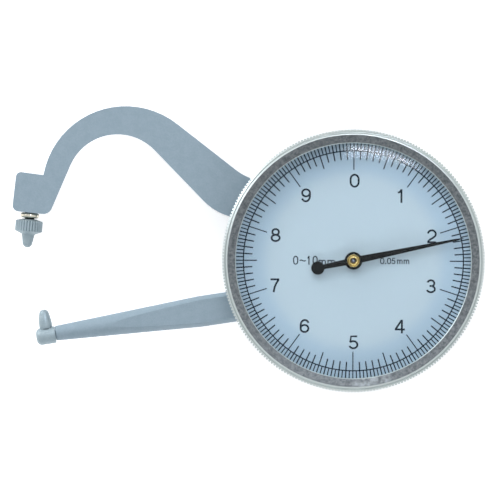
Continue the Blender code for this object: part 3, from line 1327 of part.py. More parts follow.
def main():
    """Build every piece of the gauge."""
    make_case()
    make_back_cover()
    make_cover_screws()
    make_movement_plate("lower_plate", LOWER_PLATE_BOTTOM, LOWER_PLATE_THICKNESS,
                        MOVEMENT_SCREW_RADIUS + RUNNING_GAP)
    make_movement_plate("upper_plate", UPPER_PLATE_BOTTOM, UPPER_PLATE_THICKNESS,
                        MOVEMENT_SCREW_RADIUS + RUNNING_GAP)
    make_pillars()
    make_movement_screws()
    make_intermediate()
    make_pointer_group()
    make_hairspring()
    arm_carrier = make_moving_arm()
    make_sector(arm_carrier)
    make_pivot_shaft()
    make_anvil()
    make_lock_nut()
    make_return_spring()
    make_fixed_arm()
    make_cap()
    make_stylus()
    bezel_carrier = make_empty("bezel_axis", (0.0, 0.0))
    make_bezel(bezel_carrier)
    make_dial(bezel_carrier)


main()
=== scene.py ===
"""The looks of a dial caliper gauge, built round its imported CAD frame.

Sizes are in millimetres and are turned to metres when a mesh is finished. The gauge lies on its
back: X runs right, Y up the dial and Z towards the reader, with the origin on the pointer's axis.
"""

import logging
import math
from collections.abc import Callable
from dataclasses import dataclass, field
from enum import Enum

import bmesh
import bpy
import bpy
from bmesh.types import BMesh, BMVert
from bpy.types import Material, Node, NodeSocket, NodeTree, Object
from mathutils import Matrix, Quaternion, Vector


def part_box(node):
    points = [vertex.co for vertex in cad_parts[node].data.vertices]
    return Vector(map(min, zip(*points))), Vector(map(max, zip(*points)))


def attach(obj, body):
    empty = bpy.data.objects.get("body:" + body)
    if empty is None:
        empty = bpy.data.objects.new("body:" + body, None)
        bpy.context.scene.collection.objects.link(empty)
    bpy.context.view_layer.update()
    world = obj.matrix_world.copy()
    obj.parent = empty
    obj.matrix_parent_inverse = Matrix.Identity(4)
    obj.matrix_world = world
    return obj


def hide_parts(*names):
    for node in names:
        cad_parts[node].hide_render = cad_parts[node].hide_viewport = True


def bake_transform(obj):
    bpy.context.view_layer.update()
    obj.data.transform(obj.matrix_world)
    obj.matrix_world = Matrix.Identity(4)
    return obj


MM = 0.001
# Corners closer than this are one, in millimetres: on a shape drawn here and on a CAD node's mesh
MERGE = 0.0005
NODE_MERGE = 0.002
# Steps round a turned piece, small or large, and round a hole
SMALL = 96
LARGE = 144
HOLE = 32
CENTRE = (0.0, 0.0, 0.0)
LOG = logging.getLogger("gauge")
# Two numbers, mostly a place on a plane, and three, mostly a place in space
Spot = tuple[float, float]
Place = tuple[float, float, float]
# A letter, its left edge from its row's start, its width and its height
Letter = tuple[str, float, float, float]

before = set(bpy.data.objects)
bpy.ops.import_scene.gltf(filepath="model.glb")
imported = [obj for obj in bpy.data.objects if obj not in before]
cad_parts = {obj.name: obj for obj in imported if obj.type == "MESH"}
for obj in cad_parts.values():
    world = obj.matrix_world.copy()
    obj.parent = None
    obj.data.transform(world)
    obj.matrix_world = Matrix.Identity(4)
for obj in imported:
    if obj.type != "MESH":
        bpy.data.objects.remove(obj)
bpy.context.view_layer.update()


# Meshes


class Smoothing(Enum):
    """How a finished mesh shades its faces: the angle past which an edge stays sharp."""

    FLAT = 0.0
    MILLED = 7.0
    MACHINED = 32.0
    ROUND = 60.0


def add_object(name: str, data: bpy.types.ID) -> Object:
    """Add an object to the scene.

    Args:
        name: Its name.
        data: Its mesh, curve, camera or light.

    Returns:
        The object, at the origin.
    """
    made = bpy.data.objects.new(name, data)
    bpy.context.scene.collection.objects.link(made)
    return made


def add_mesh(bm: BMesh, name: str) -> Object:
    """Add a shape to the scene as it stands, and free it.

    Args:
        bm: The shape.
        name: The name of its object and mesh.

    Returns:
        The object.
    """
    mesh = bpy.data.meshes.new(name)
    bm.to_mesh(mesh)
    bm.free()
    return add_object(name, mesh)


def final_shape(made: Object) -> BMesh:
    """Read the shape that an object has after its modifiers or its curve's bevel.

    Args:
        made: The object.

    Returns:
        The shape.
    """
    bpy.context.view_layer.update()
    graph = bpy.context.evaluated_depsgraph_get()
    mesh = bpy.data.meshes.new_from_object(made.evaluated_get(graph))
    bm = bmesh.new()
    bm.from_mesh(mesh)
    bpy.data.meshes.remove(mesh)
    return bm


def finish_mesh(bm: BMesh, name: str, body: str, *finishes: str,
                smoothing: Smoothing = Smoothing.MACHINED) -> Object:
    """Turn a shape in millimetres into a piece that rides on a body.

    Args:
        bm: The shape, in place, which is freed.
        name: The piece's name.
        body: The CAD body that it moves with, or nothing for a piece that rides on none.
        finishes: Its finishes, in the order of its faces' numbers.
        smoothing: How it shades its faces.

    Returns:
        The piece's object, at the origin.
    """
    bmesh.ops.remove_doubles(bm, verts=bm.verts, dist=MERGE)
    bmesh.ops.recalc_face_normals(bm, faces=bm.faces)
    bmesh.ops.scale(bm, vec=(MM, MM, MM), verts=bm.verts)
    for face in bm.faces:
        face.smooth = smoothing is not Smoothing.FLAT
    for edge in sharp_edges(bm, smoothing.value):
        edge.smooth = False
    piece = add_mesh(bm, name)
    for finish in finishes:
        piece.data.materials.append(FINISHED[finish])
    if body:
        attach(piece, body)
    LOG.info("%s: %d faces on %s", name, len(piece.data.polygons), body or "two bodies")
    return piece


def node_shape(node: str, merge: float = NODE_MERGE) -> BMesh:
    """Copy a CAD node's shape.

    Args:
        node: The node's name.
        merge: Corners closer than this become one.

    Returns:
        The copy, in millimetres.
    """
    bm = bmesh.new()
    bm.from_mesh(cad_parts[node].data)
    bmesh.ops.scale(bm, vec=(1 / MM, 1 / MM, 1 / MM), verts=bm.verts)
    bmesh.ops.remove_doubles(bm, verts=bm.verts, dist=merge)
    return bm


def node_box(node: str) -> tuple[Vector, Vector, Vector]:
    """Give the low corner, the middle and the high corner of a CAD node, in millimetres."""
    low, high = (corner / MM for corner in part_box(node))
    return low, (low + high) / 2, high


def dress(node: str, finish: str) -> None:
    """Give a CAD node that is shown its finish.

    Args:
        node: The node's name.
        finish: The finish's key.
    """
    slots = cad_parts[node].data.materials
    slots.clear()
    slots.append(FINISHED[finish])


def wire(bm: BMesh, points: list[Place], closed: bool = True) -> None:
    """Draw a line through points.

    Args:
        bm: The mesh that takes the line.
        points: Its corners.
        closed: Whether the last point joins the first.
    """
    verts = [bm.verts.new(point) for point in points]
    following = verts[1:] + verts[:1] if closed else verts[1:]
    for pair in zip(verts, following):
        bm.edges.new(pair)


def soften(bm: BMesh, chosen: list, width: float, segments: int = 2, affect: str = "EDGES") -> None:
    """Round edges or corners off to a width, with the operator's settings as the editor has them."""
    bmesh.ops.bevel(bm, geom=chosen, offset=width, offset_type="OFFSET", segments=segments,
                    profile=0.5, affect=affect, material=-1, clamp_overlap=True)


def sharp_edges(bm: BMesh, angle: float) -> list:
    """Return the edges that turn by more than an angle in degrees."""
    limit = math.radians(angle)
    return [e for e in bm.edges if len(e.link_faces) == 2 and e.calc_face_angle(0.0) > limit]


def turned(profile: list[Spot], steps: int, rounding: float = 0.0) -> BMesh:
    """Turn a closed profile about the Z axis, as on a lathe.

    Args:
        profile: Corners as radius and height. One on the axis has a radius of zero.
        steps: How many steps make the full turn.
        rounding: How far every outer corner of the profile is cut off and rounded.

    Returns:
        A closed shape.
    """
    bm = bmesh.new()
    closed = all(radius > 0 for radius, _ in profile)
    wire(bm, [(radius, 0.0, height) for radius, height in profile], closed)
    if rounding:
        soften(bm, [v for v in bm.verts if len(v.link_edges) == 2], rounding, 3, "VERTICES")
    bmesh.ops.spin(bm, geom=bm.verts[:] + bm.edges[:], cent=CENTRE, axis=(0.0, 0.0, 1.0),
                   dvec=CENTRE, angle=math.tau, steps=steps, use_merge=True)
    bmesh.ops.remove_doubles(bm, verts=bm.verts, dist=MERGE)
    bmesh.ops.recalc_face_normals(bm, faces=bm.faces)
    return bm


def lay(bm: BMesh, matrix: Matrix) -> BMesh:
    """Move a whole shape by a matrix and return it."""
    bmesh.ops.transform(bm, matrix=matrix, verts=bm.verts)
    return bm


def shift(x: float, y: float, z: float) -> Matrix:
    """Give the matrix that moves a shape."""
    return Matrix.Translation((x, y, z))


def turn_z(degrees: float) -> Matrix:
    """Give the matrix that turns a shape about the Z axis."""
    return Matrix.Rotation(math.radians(degrees), 4, "Z")


def stand(origin: Place, axis: Place) -> Matrix:
    """Give the matrix that stands a shape's Z axis along a direction, its foot at a point."""
    turn = Vector((0.0, 0.0, 1.0)).rotation_difference(Vector(axis))
    return shift(*origin) @ turn.to_matrix().to_4x4()


def thicken(bm: BMesh, thickness: float) -> None:
    """Raise a flat shape to a plate, upwards.

    Args:
        bm: The shape, with its faces on one plane.
        thickness: How far it rises.
    """
    grown = bmesh.ops.extrude_face_region(bm, geom=bm.faces[:])
    risen = [item for item in grown["geom"] if isinstance(item, BMVert)]
    bmesh.ops.translate(bm, vec=(0.0, 0.0, thickness), verts=risen)


def rounded_outline(bm: BMesh, corners: tuple[Place, ...], finest: float = 6.0) -> None:
    """Draw a closed outline whose corners are true arcs, made by spinning a point.

    Args:
        bm: The mesh that takes the outline.
        corners: Each corner's place and the radius of its rounding.
        finest: The greatest turn of a step, in degrees.
    """
    ends = []
    following = corners[1:] + corners[:1]
    for index, (x, y, radius) in enumerate(corners):
        corner = Vector((x, y, 0.0))
        before, after = ((Vector((*other[:2], 0.0)) - corner).normalized()
                         for other in (corners[index - 1], following[index]))
        inside = before.angle(after)
        start = corner + before * (radius / math.tan(inside / 2))
        centre = corner + (before + after).normalized() * (radius / math.sin(inside / 2))
        turn = math.pi - inside
        side = 1.0 if before.cross(after).z < 0 else -1.0
        steps = max(3, math.ceil(math.degrees(turn) / finest))
        first = bm.verts.new(start)
        spun = bmesh.ops.spin(bm, geom=[first], cent=centre, axis=(0.0, 0.0, side), dvec=CENTRE,
                              angle=turn, steps=steps)
        ends.append((first, next(item for item in spun["geom_last"] if isinstance(item, BMVert))))
    for (_, last), (first, _) in zip(ends, ends[1:] + ends[:1]):
        bm.edges.new((last, first))


def plate(corners: tuple[Place, ...], bottom: float, thickness: float, edge: float,
          holes: list[Place]) -> BMesh:
    """Cut a plate to an outline, drill it and break its edges.

    Args:
        corners: The outline, as rounded_outline takes it.
        bottom: The height of its lower face.
        thickness: Its thickness.
        edge: How far its edges are cut off.
        holes: Through holes as place and radius.

    Returns:
        The plate's closed shape.
    """
    bm = bmesh.new()
    rounded_outline(bm, corners)
    for x, y, radius in holes:
        bmesh.ops.create_circle(bm, cap_ends=False, segments=64, radius=radius, matrix=shift(x, y, 0.0))
    bmesh.ops.triangle_fill(bm, edges=bm.edges[:], use_beauty=True)
    thicken(bm, thickness)
    bmesh.ops.recalc_face_normals(bm, faces=bm.faces)
    soften(bm, sharp_edges(bm, 60.0), edge, 1)
    return lay(bm, shift(0.0, 0.0, bottom))


def rod(radius: float, length: float, matrix: Matrix, steps: int = 48) -> BMesh:
    """Make a plain rod that stands on the origin, then place it. It serves to cut or to join.

    Args:
        radius: Its radius.
        length: Its length along Z.
        matrix: Where it goes.
        steps: How many faces go round it.

    Returns:
        The rod.
    """
    bm = bmesh.new()
    bmesh.ops.create_cone(bm, cap_ends=True, segments=steps, radius1=radius, radius2=radius,
                          depth=length, matrix=matrix @ shift(0.0, 0.0, length / 2))
    return bm


def block(bm: BMesh, size: Place, matrix: Matrix) -> BMesh:
    """Add a box about the origin to a shape, then place it.

    Args:
        bm: The shape that takes the box.
        size: Its length, width and height.
        matrix: Where it goes.

    Returns:
        The shape.
    """
    bmesh.ops.create_cube(bm, size=1.0, matrix=matrix @ Matrix.Diagonal((*size, 1.0)))
    return bm


def carve(bm: BMesh, tools: list[BMesh], operation: str = "DIFFERENCE") -> BMesh:
    """Cut tools out of a shape, or join them to it, with exact Booleans.

    Args:
        bm: The shape, which is freed.
        tools: The other shapes, which are freed too.
        operation: The Boolean's operation.

    Returns:
        The new shape.
    """
    carriers = []
    for shape in [bm, *tools]:
        bmesh.ops.recalc_face_normals(shape, faces=shape.faces)
        carriers.append(add_mesh(shape, "carving"))
    for tool in carriers[1:]:
        modifier = carriers[0].modifiers.new("carve", "BOOLEAN")
        modifier.operation = operation
        modifier.solver = "EXACT"
        modifier.object = tool
    made = final_shape(carriers[0])
    for carrier in carriers:
        bpy.data.meshes.remove(carrier.data)
    bmesh.ops.remove_doubles(made, verts=made.verts, dist=MERGE)
    return made


def number_faces(bm: BMesh, number: int, chosen: Callable[[Vector], bool]) -> None:
    """Give a material's number to the faces whose middle a test picks out.

    Args:
        bm: The shape.
        number: The material's place in the piece's list.
        chosen: The test, which takes the middle of a face.
    """
    for face in bm.faces:
        if chosen(face.calc_center_median()):
            face.material_index = number


def bend(middle: Spot, reach: Spot, start: float, end: float, steps: int = 0) -> list[Spot]:
    """List the points of a part of an ellipse.

    Args:
        middle: The ellipse's middle.
        reach: Its half width and half height.
        start: Where it starts, in degrees from the right, counterclockwise.
        end: Where it ends.
        steps: How many steps it takes. With none given, a step is 12 degrees or less.

    Returns:
        The points.
    """
    steps = steps or max(4, math.ceil(abs(end - start) / 12))
    turns = [math.radians(start + (end - start) * index / steps) for index in range(steps + 1)]
    return [(middle[0] + reach[0] * math.cos(turn), middle[1] + reach[1] * math.sin(turn))
            for turn in turns]


# Finishes


def linear(code: str) -> tuple[float, float, float, float]:
    """Turn an sRGB hex colour into Blender's linear colour.

    Args:
        code: The colour as a hash and six hex digits.

    Returns:
        The linear colour with an alpha of 1.
    """
    parts = [int(code[start:start + 2], 16) / 255 for start in (1, 3, 5)]
    flat = [c / 12.92 if c <= 0.04045 else ((c + 0.055) / 1.055) ** 2.4 for c in parts]
    return (*flat, 1.0)


def fill(tree: NodeTree, node: Node, inputs: dict) -> Node:
    """Fill a node's inputs with values or links.

    Args:
        tree: The node tree.
        node: The node.
        inputs: Values, output sockets, or nodes for their first output, by the input's name or number.

    Returns:
        The node.
    """
    for key, value in inputs.items():
        source = value.outputs[0] if isinstance(value, Node) else value
        if isinstance(source, NodeSocket):
            tree.links.new(source, node.inputs[key])
        else:
            node.inputs[key].default_value = source
    return node


def add_node(tree: NodeTree, kind: str, inputs: dict | None = None, **settings) -> Node:
    """Add a node, set its properties and fill its inputs.

    Args:
        tree: The node tree.
        kind: The node's type.
        inputs: Its inputs, as fill takes them.
        settings: The node's own properties.

    Returns:
        The node.
    """
    made = tree.nodes.new(kind)
    for key, value in settings.items():
        setattr(made, key, value)
    return fill(tree, made, inputs or {})


def new_material(name: str) -> tuple[Material, NodeTree, Node]:
    """Start a material.

    Args:
        name: Its name.

    Returns:
        The material, its node tree and its main shader.
    """
    material = bpy.data.materials.new(name)
    material.use_nodes = True
    tree = material.node_tree
    return material, tree, tree.nodes["Principled BSDF"]


@dataclass(frozen=True)
class Finish:
    """A finish with a grain: two near colours, an uneven gloss and a fine relief.

    The grain is the width in millimetres of the bumps that show, and blotch that of the slow change in
    tone and gloss, as spraying or handling leaves it.
    """

    name: str
    colour: str
    other: str
    metallic: float = 0.0
    roughness: float = 0.4
    uneven: float = 0.03
    grain: float = 0.3
    blotch: float = 1.6
    relief: float = 0.1
    mirror: float = 0.5

    def place(self, tree: NodeTree) -> NodeSocket:
        """Give the point on the piece that the grain is drawn at."""
        return add_node(tree, "ShaderNodeTexCoord").outputs["Object"]

    def tone(self, tree: NodeTree, colour: NodeSocket) -> NodeSocket:
        """Give the colour that the shader takes. A finish with wear changes it here."""
        return colour

    def make(self) -> Material:
        """Build the material.

        Returns:
            The material, with its grain in colour, gloss and relief.
        """
        material, tree, shader = new_material(self.name)
        spot = self.place(tree)
        fine, slow = (add_node(tree, "ShaderNodeTexNoise", {
            "Vector": spot, "Scale": 1 / (width * MM), "Detail": detail})
            for width, detail in ((self.grain, 2.0), (self.blotch, 1.0)))
        both = add_node(tree, "ShaderNodeMath", {0: fine, 1: slow}, operation="ADD")
        share = add_node(tree, "ShaderNodeMapRange", {"Value": both, "From Min": 0.75, "From Max": 1.25})
        colour = add_node(tree, "ShaderNodeMix", {
            0: share, 6: linear(self.colour), 7: linear(self.other)}, data_type="RGBA")
        gloss = add_node(tree, "ShaderNodeMapRange", {
            "Value": slow, "From Min": 0.3, "From Max": 0.7,
            "To Min": self.roughness - self.uneven, "To Max": self.roughness + self.uneven})
        bump = add_node(tree, "ShaderNodeBump", {
            "Height": fine, "Strength": self.relief, "Distance": self.grain * MM})
        fill(tree, shader, {
            "Base Color": self.tone(tree, colour.outputs[2]), "Roughness": gloss, "Normal": bump,
            "Metallic": self.metallic, "Specular IOR Level": self.mirror})
        return material


@dataclass(frozen=True)
class TurnedFinish(Finish):
    """A finish with the fine rings that a lathe tool leaves round the Z axis."""

    # How many grains wide the change round the axis is
    round_trip: float = 6.0

    def place(self, tree: NodeTree) -> NodeSocket:
        """Give the distance from the axis and the height, with only a slow change round it.

        Args:
            tree: The node tree.

        Returns:
            The socket with the point.
        """
        spot = add_node(tree, "ShaderNodeTexCoord").outputs["Object"]
        parts = add_node(tree, "ShaderNodeSeparateXYZ", {"Vector": spot})
        flat = add_node(tree, "ShaderNodeVectorMath", {0: spot, 1: (1.0, 1.0, 0.0)},
                        operation="MULTIPLY")
        reach = add_node(tree, "ShaderNodeVectorMath", {0: flat}, operation="LENGTH")
        outward = add_node(tree, "ShaderNodeVectorMath", {0: flat}, operation="NORMALIZE")
        slow = add_node(tree, "ShaderNodeVectorMath", {
            0: outward, "Scale": self.grain * MM * self.round_trip}, operation="SCALE")
        around = add_node(tree, "ShaderNodeSeparateXYZ", {"Vector": slow})
        rise = add_node(tree, "ShaderNodeMath", {0: parts.outputs["Z"], 1: around.outputs["Y"]},
                        operation="ADD")
        joined = add_node(tree, "ShaderNodeCombineXYZ", {
            "X": reach.outputs["Value"], "Y": around.outputs["X"], "Z": rise})
        return joined.outputs["Vector"]


@dataclass(frozen=True)
class HandledFinish(Finish):
    """A blasted ring with a pale patch at its lower edge, a painted reflection."""

    # The pale colour of the painted reflection
    rubbed: str = "#989FA2"
    middle: float = 3.4
    half_width: float = 4.0
    smear: float = 1.1

    def tone(self, tree: NodeTree, colour: NodeSocket) -> NodeSocket:
        """Mix the painted reflection's colour in.

        Args:
            tree: The node tree.
            colour: The ring's own colour.

        Returns:
            The colour with the patch.
        """
        spot = add_node(tree, "ShaderNodeTexCoord").outputs["Object"]
        parts = add_node(tree, "ShaderNodeSeparateXYZ", {"Vector": spot})
        off = add_node(tree, "ShaderNodeMath", {0: parts.outputs["X"], 1: self.middle * MM},
                       operation="SUBTRACT")
        away = add_node(tree, "ShaderNodeMath", {0: off}, operation="ABSOLUTE")
        # The painted reflection is strongest round its middle, on the lower half only
        near = add_node(tree, "ShaderNodeMapRange", {
            "Value": away, "From Min": 0.7 * self.half_width * MM, "From Max": self.half_width * MM,
            "To Min": 1.0, "To Max": 0.0})
        low = add_node(tree, "ShaderNodeMath", {0: parts.outputs["Y"], 1: 0.0}, operation="LESS_THAN")
        smear = add_node(tree, "ShaderNodeTexNoise", {
            "Vector": spot, "Scale": 1 / (self.smear * MM), "Detail": 4.0})
        patchy = add_node(tree, "ShaderNodeMapRange", {
            "Value": smear, "From Min": 0.42, "From Max": 0.6, "To Max": 0.85})
        here = add_node(tree, "ShaderNodeMath", {0: near, 1: low}, operation="MULTIPLY")
        share = add_node(tree, "ShaderNodeMath", {0: here, 1: patchy}, operation="MULTIPLY")
        return add_node(tree, "ShaderNodeMix", {0: share, 6: colour, 7: linear(self.rubbed)},
                        data_type="RGBA").outputs[2]


@dataclass(frozen=True)
class CrystalFinish:
    """Cast acrylic, polished clear, which lets the lamps reach the dial.

    It mirrors less than plain acrylic, because the room above the real one was dark and printed black
    stays black under it.
    """

    name: str = "cast_acrylic"
    colour: str = "#FBFDFE"
    mirror: str = "#7A7A7A"
    bending: float = 1.49
    haze: float = 0.8
    roughness: Spot = (0.06, 0.064)

    def make(self) -> Material:
        """Build the material.

        Returns:
            The clear material.
        """
        material, tree, shader = new_material(self.name)
        spot = add_node(tree, "ShaderNodeTexCoord").outputs["Object"]
        haze = add_node(tree, "ShaderNodeTexNoise", {
            "Vector": spot, "Scale": 1 / (self.haze * MM), "Detail": 3.0})
        smooth, dull = self.roughness
        gloss = add_node(tree, "ShaderNodeMapRange", {
            "Value": haze, "From Min": 0.3, "From Max": 0.7, "To Min": smooth, "To Max": dull})
        fill(tree, shader, {
            "Base Color": linear(self.colour), "Transmission Weight": 1.0, "IOR": self.bending,
            "Specular Tint": linear(self.mirror), "Roughness": gloss})
        clear = add_node(tree, "ShaderNodeBsdfTransparent")
        path = add_node(tree, "ShaderNodeLightPath")
        mixed = add_node(tree, "ShaderNodeMixShader", {
            0: path.outputs["Is Shadow Ray"], 1: shader, 2: clear})
        fill(tree, tree.nodes["Material Output"], {"Surface": mixed})
        return material


@dataclass(frozen=True)
class DialFinish:
    """Sprayed dial enamel, pale blue, darkened by painted shade under the lines near the rim."""

    name: str = "dial_enamel"
    middle: str = "#A7B8C1"
    # The colour that the painted shade reaches near the rim
    edge: str = "#9AAFBE"
    fade_from: float = 15.0
    fade_to: float = 18.4
    grain: float = 0.5
    mottle: float = 0.08
    relief: float = 0.04
    depth: float = 0.05
    mirror: float = 0.06

    def make(self) -> Material:
        """Build the material.

        Returns:
            The enamel, with painted shade that deepens with the distance from the axis.
        """
        material, tree, shader = new_material(self.name)
        spot = add_node(tree, "ShaderNodeTexCoord").outputs["Object"]
        flat = add_node(tree, "ShaderNodeVectorMath", {0: spot, 1: (1.0, 1.0, 0.0)},
                        operation="MULTIPLY")
        reach = add_node(tree, "ShaderNodeVectorMath", {0: flat}, operation="LENGTH")
        # How far the painted shade has come, from the distance from the axis
        share = add_node(tree, "ShaderNodeMapRange", {
            "Value": reach.outputs["Value"], "From Min": self.fade_from * MM,
            "From Max": self.fade_to * MM}, interpolation_type="SMOOTHSTEP")
        grain = add_node(tree, "ShaderNodeTexNoise", {
            "Vector": spot, "Scale": 1 / (self.grain * MM), "Detail": 3.0})
        mottled = add_node(tree, "ShaderNodeMath", {0: grain, 1: self.mottle, 2: share},
                           operation="MULTIPLY_ADD")
        colour = add_node(tree, "ShaderNodeMix", {
            0: mottled, 6: linear(self.middle), 7: linear(self.edge)}, data_type="RGBA")
        gloss = add_node(tree, "ShaderNodeMapRange", {"Value": grain, "To Min": 0.5, "To Max": 0.6})
        bump = add_node(tree, "ShaderNodeBump", {
            "Height": grain, "Strength": self.relief, "Distance": self.depth * MM})
        fill(tree, shader, {
            "Base Color": colour.outputs[2], "Roughness": gloss, "Normal": bump,
            "Specular IOR Level": self.mirror})
        return material


FINISHES = {
    # Sprayed silver-blue lacquer over steel: an even satin with a fine mottle, from 0.1 mm flakes drawn
    # three times as coarse so that they show
    "arm": Finish("silver_blue_lacquer", "#90A4B1", "#98ABB8", metallic=0.12, roughness=0.55,
                  grain=0.3, relief=0.06),
    # The same lacquer on the small turned pieces, where it lies thinner and shines more
    "tip": Finish("thin_silver_blue_lacquer", "#95A7B0", "#A6B6BD", metallic=0.35, roughness=0.42,
                  grain=0.25, relief=0.05),
    # Knurled aluminium, bright anodised: pale with a trace of green
    "bezel": TurnedFinish("bright_anodised_aluminium", "#C6CECD", "#D0D7D6", metallic=1.0,
                          roughness=0.36, grain=0.15, relief=0.04),
    # The bezel's blasted face: its mid grey is a painted reflection of the dark room above, with 0.1 mm
    # pits drawn twice as coarse so that they show
    "ring": HandledFinish("blasted_aluminium_painted_reflection", "#565B5E", "#7C8184", metallic=0.75, roughness=0.5,
                          uneven=0.04, grain=0.28, blotch=0.7, relief=0.16),
    # The knurls' flanks and the groove inside them: the rim's aluminium made darker, as painted shade
    "knurl": TurnedFinish("aluminium_painted_knurl_shade", "#B7BFBE", "#C6CDCB", metallic=1.0,
                          roughness=0.42, grain=0.15, relief=0.04),
    # Faced chamfer between the knurls and the blasted face: pale grey with tool rings
    "chamfer": TurnedFinish("faced_aluminium", "#B7BFBF", "#C3CBCA", metallic=1.0, roughness=0.36,
                            grain=0.12, relief=0.04),
    # Machine polish on the lip round the crystal: bright, with faint tool rings
    "lip": TurnedFinish("polished_aluminium", "#A4B1B3", "#B7C2C2", metallic=1.0, roughness=0.4,
                        grain=0.1, relief=0.03),
    # Printing ink, near black with a blue cast
    "ink": Finish("dial_ink", "#0C1620", "#14202B", roughness=0.6, grain=0.1, relief=0.02, mirror=0.1),
    # Stoved black enamel on the pointer
    "black": Finish("stoved_black_enamel", "#060809", "#0F1213", roughness=0.45, grain=0.12,
                    relief=0.05, mirror=0.08),
    # Turned brass, bright on the ridges
    "brass": TurnedFinish("turned_brass", "#B9A05C", "#DCC98E", metallic=1.0, roughness=0.24,
                          grain=0.1, relief=0.05),
    # The same brass made brown in the groove and round the bore, as painted shade
    "brass_painted_shade": TurnedFinish("brass_in_painted_shade", "#5F4A22", "#86692F", metallic=0.8, roughness=0.4,
                              grain=0.1, relief=0.05),
    # The arbor's end, burnished dark
    "arbor": Finish("burnished_steel", "#5E6068", "#74767E", metallic=1.0, roughness=0.28, grain=0.2,
                    relief=0.04),
    # Ground steel on pins, shafts and screws: grey with faint rings
    "steel": TurnedFinish("ground_steel", "#8A8F94", "#A3A8AC", metallic=1.0, roughness=0.3, grain=0.1,
                          relief=0.05),
    # Nickel plate with a warm cast, polished, so that it mirrors its surroundings
    "nickel": Finish("polished_nickel", "#CFC8B6", "#E0DACA", metallic=1.0, roughness=0.1, grain=0.4,
                     relief=0.02),
    # Satin lacquer on the drawn case, a little greyer than the arms
    "case": Finish("satin_case_lacquer", "#98A5AD", "#A5B1B8", metallic=0.4, roughness=0.4, grain=0.3,
                   relief=0.07),
    # Faced steel cover, with the facing tool's rings about the axis, drawn at 0.3 mm so that they show
    "cover": TurnedFinish("faced_steel_cover", "#A3A8AC", "#BCC1C4", metallic=1.0, roughness=0.34,
                          grain=0.3, relief=0.1),
    # Blued spring steel: dark with a cold cast
    "dark": Finish("blued_spring_steel", "#2C3644", "#3E4B5C", metallic=1.0, roughness=0.3, grain=0.2,
                   relief=0.04),
    "dial": DialFinish(),
    "crystal": CrystalFinish(),
}
FINISHED = {key: finish.make() for key, finish in FINISHES.items()}


# The gauge


@dataclass
class Bezel:
    """The knurled ring that turns on the case, with its polished lip, its blasted face in a painted dark
    reflection and painted shade on its knurls.
    """

    radius: float = 25.0
    bore: float = 22.3
    lip: float = 22.42
    ring_end: float = 23.9
    chamfer_end: float = 24.24
    land: float = 24.44
    seat_bore: float = 21.66
    ledge_bore: float = 20.62
    top: float = 14.15
    ring_drop: float = 0.42
    land_drop: float = 0.3
    rim_drop: float = 0.75
    foot: float = 9.0
    foot_chamfer: float = 0.6
    # The ledge under the dial, its bottom and top, and the retaining ring's groove, its radius first
    ledge: Spot = (10.45, 10.8)
    groove: Place = (21.96, 9.34, 9.96)
    knurls: int = 256
    knurl_depth: float = 0.42
    # A higher power makes the knurls blunter and the gaps between them sharper
    knurl_power: float = 2.2
    steps_per_knurl: int = 4
    # How near to the rim a corner counts as on it
    slack: float = 0.01

    def profile(self) -> list[Spot]:
        """List the ring's corners as radius and height, from the lip outwards and back under.

        Returns:
            The corners.
        """
        reach, low, high = self.groove
        face = [
            (self.bore, self.ring_drop + 0.1), (self.lip, self.ring_drop), (self.ring_end, 0.01),
            (self.ring_end + 0.08, 0.03), (self.chamfer_end, 0.28), (self.chamfer_end + 0.06, 0.42),
            (self.land - 0.06, 0.44), (self.land, self.land_drop), (self.radius, self.rim_drop),
        ]
        return [(radius, self.top - drop) for radius, drop in face] + [
            (self.radius, self.foot + self.foot_chamfer), (self.radius - self.foot_chamfer, self.foot),
            (self.seat_bore, self.foot), (self.seat_bore, low), (reach, low), (reach, high),
            (self.seat_bore, high), (self.seat_bore, self.ledge[0]), (self.ledge_bore, self.ledge[0]),
            (self.ledge_bore, self.ledge[1]), (self.bore, self.ledge[1]),
        ]

    def knurl(self, bm: BMesh) -> None:
        """Press the straight knurls into the rim, run out along both chamfers.

        Args:
            bm: The plain ring.
        """
        rim_slope = (self.rim_drop - self.land_drop) / (self.radius - self.land)
        for vert in bm.verts:
            if vert.co.xy.length < self.radius - self.slack:
                continue
            turn = math.atan2(vert.co.y, vert.co.x) / math.tau * self.knurls
            depth = self.knurl_depth * abs(2 * (turn - math.floor(turn)) - 1) ** self.knurl_power
            upper = vert.co.z > self.top - self.rim_drop - self.slack
            vert.co.xy *= 1 - depth / self.radius
            vert.co.z += depth * rim_slope if upper else -depth

    def build(self) -> None:
        """Make the ring and give its blasted face, its lip and its rim their finishes, with a painted
        reflection on the face and painted shade on the groove and knurls.
        """
        bm = turned(self.profile(), self.knurls * self.steps_per_knurl)
        self.knurl(bm)
        # Face 1, the blasted face, is a painted dark reflection; face 4, the groove, is painted shade
        for number, inner, outer in ((2, 0.0, self.lip), (1, self.lip, self.ring_end),
                                     (3, self.ring_end, self.chamfer_end),
                                     (4, self.chamfer_end, self.land)):
            number_faces(bm, number, lambda spot: inner < spot.xy.length < outer
                         and spot.z > self.ledge[1])
        # The knurls take the darker finish too, as painted shade
        number_faces(bm, 4, lambda spot: spot.xy.length > self.radius - self.knurl_depth
                     and spot.z > self.foot + 0.1)
        piece = finish_mesh(bm, "bezel_knurled_ring", "bezel_group", "bezel", "ring", "lip", "chamfer",
                            "knurl", smoothing=Smoothing.MILLED)
        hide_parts("bezel_ring")


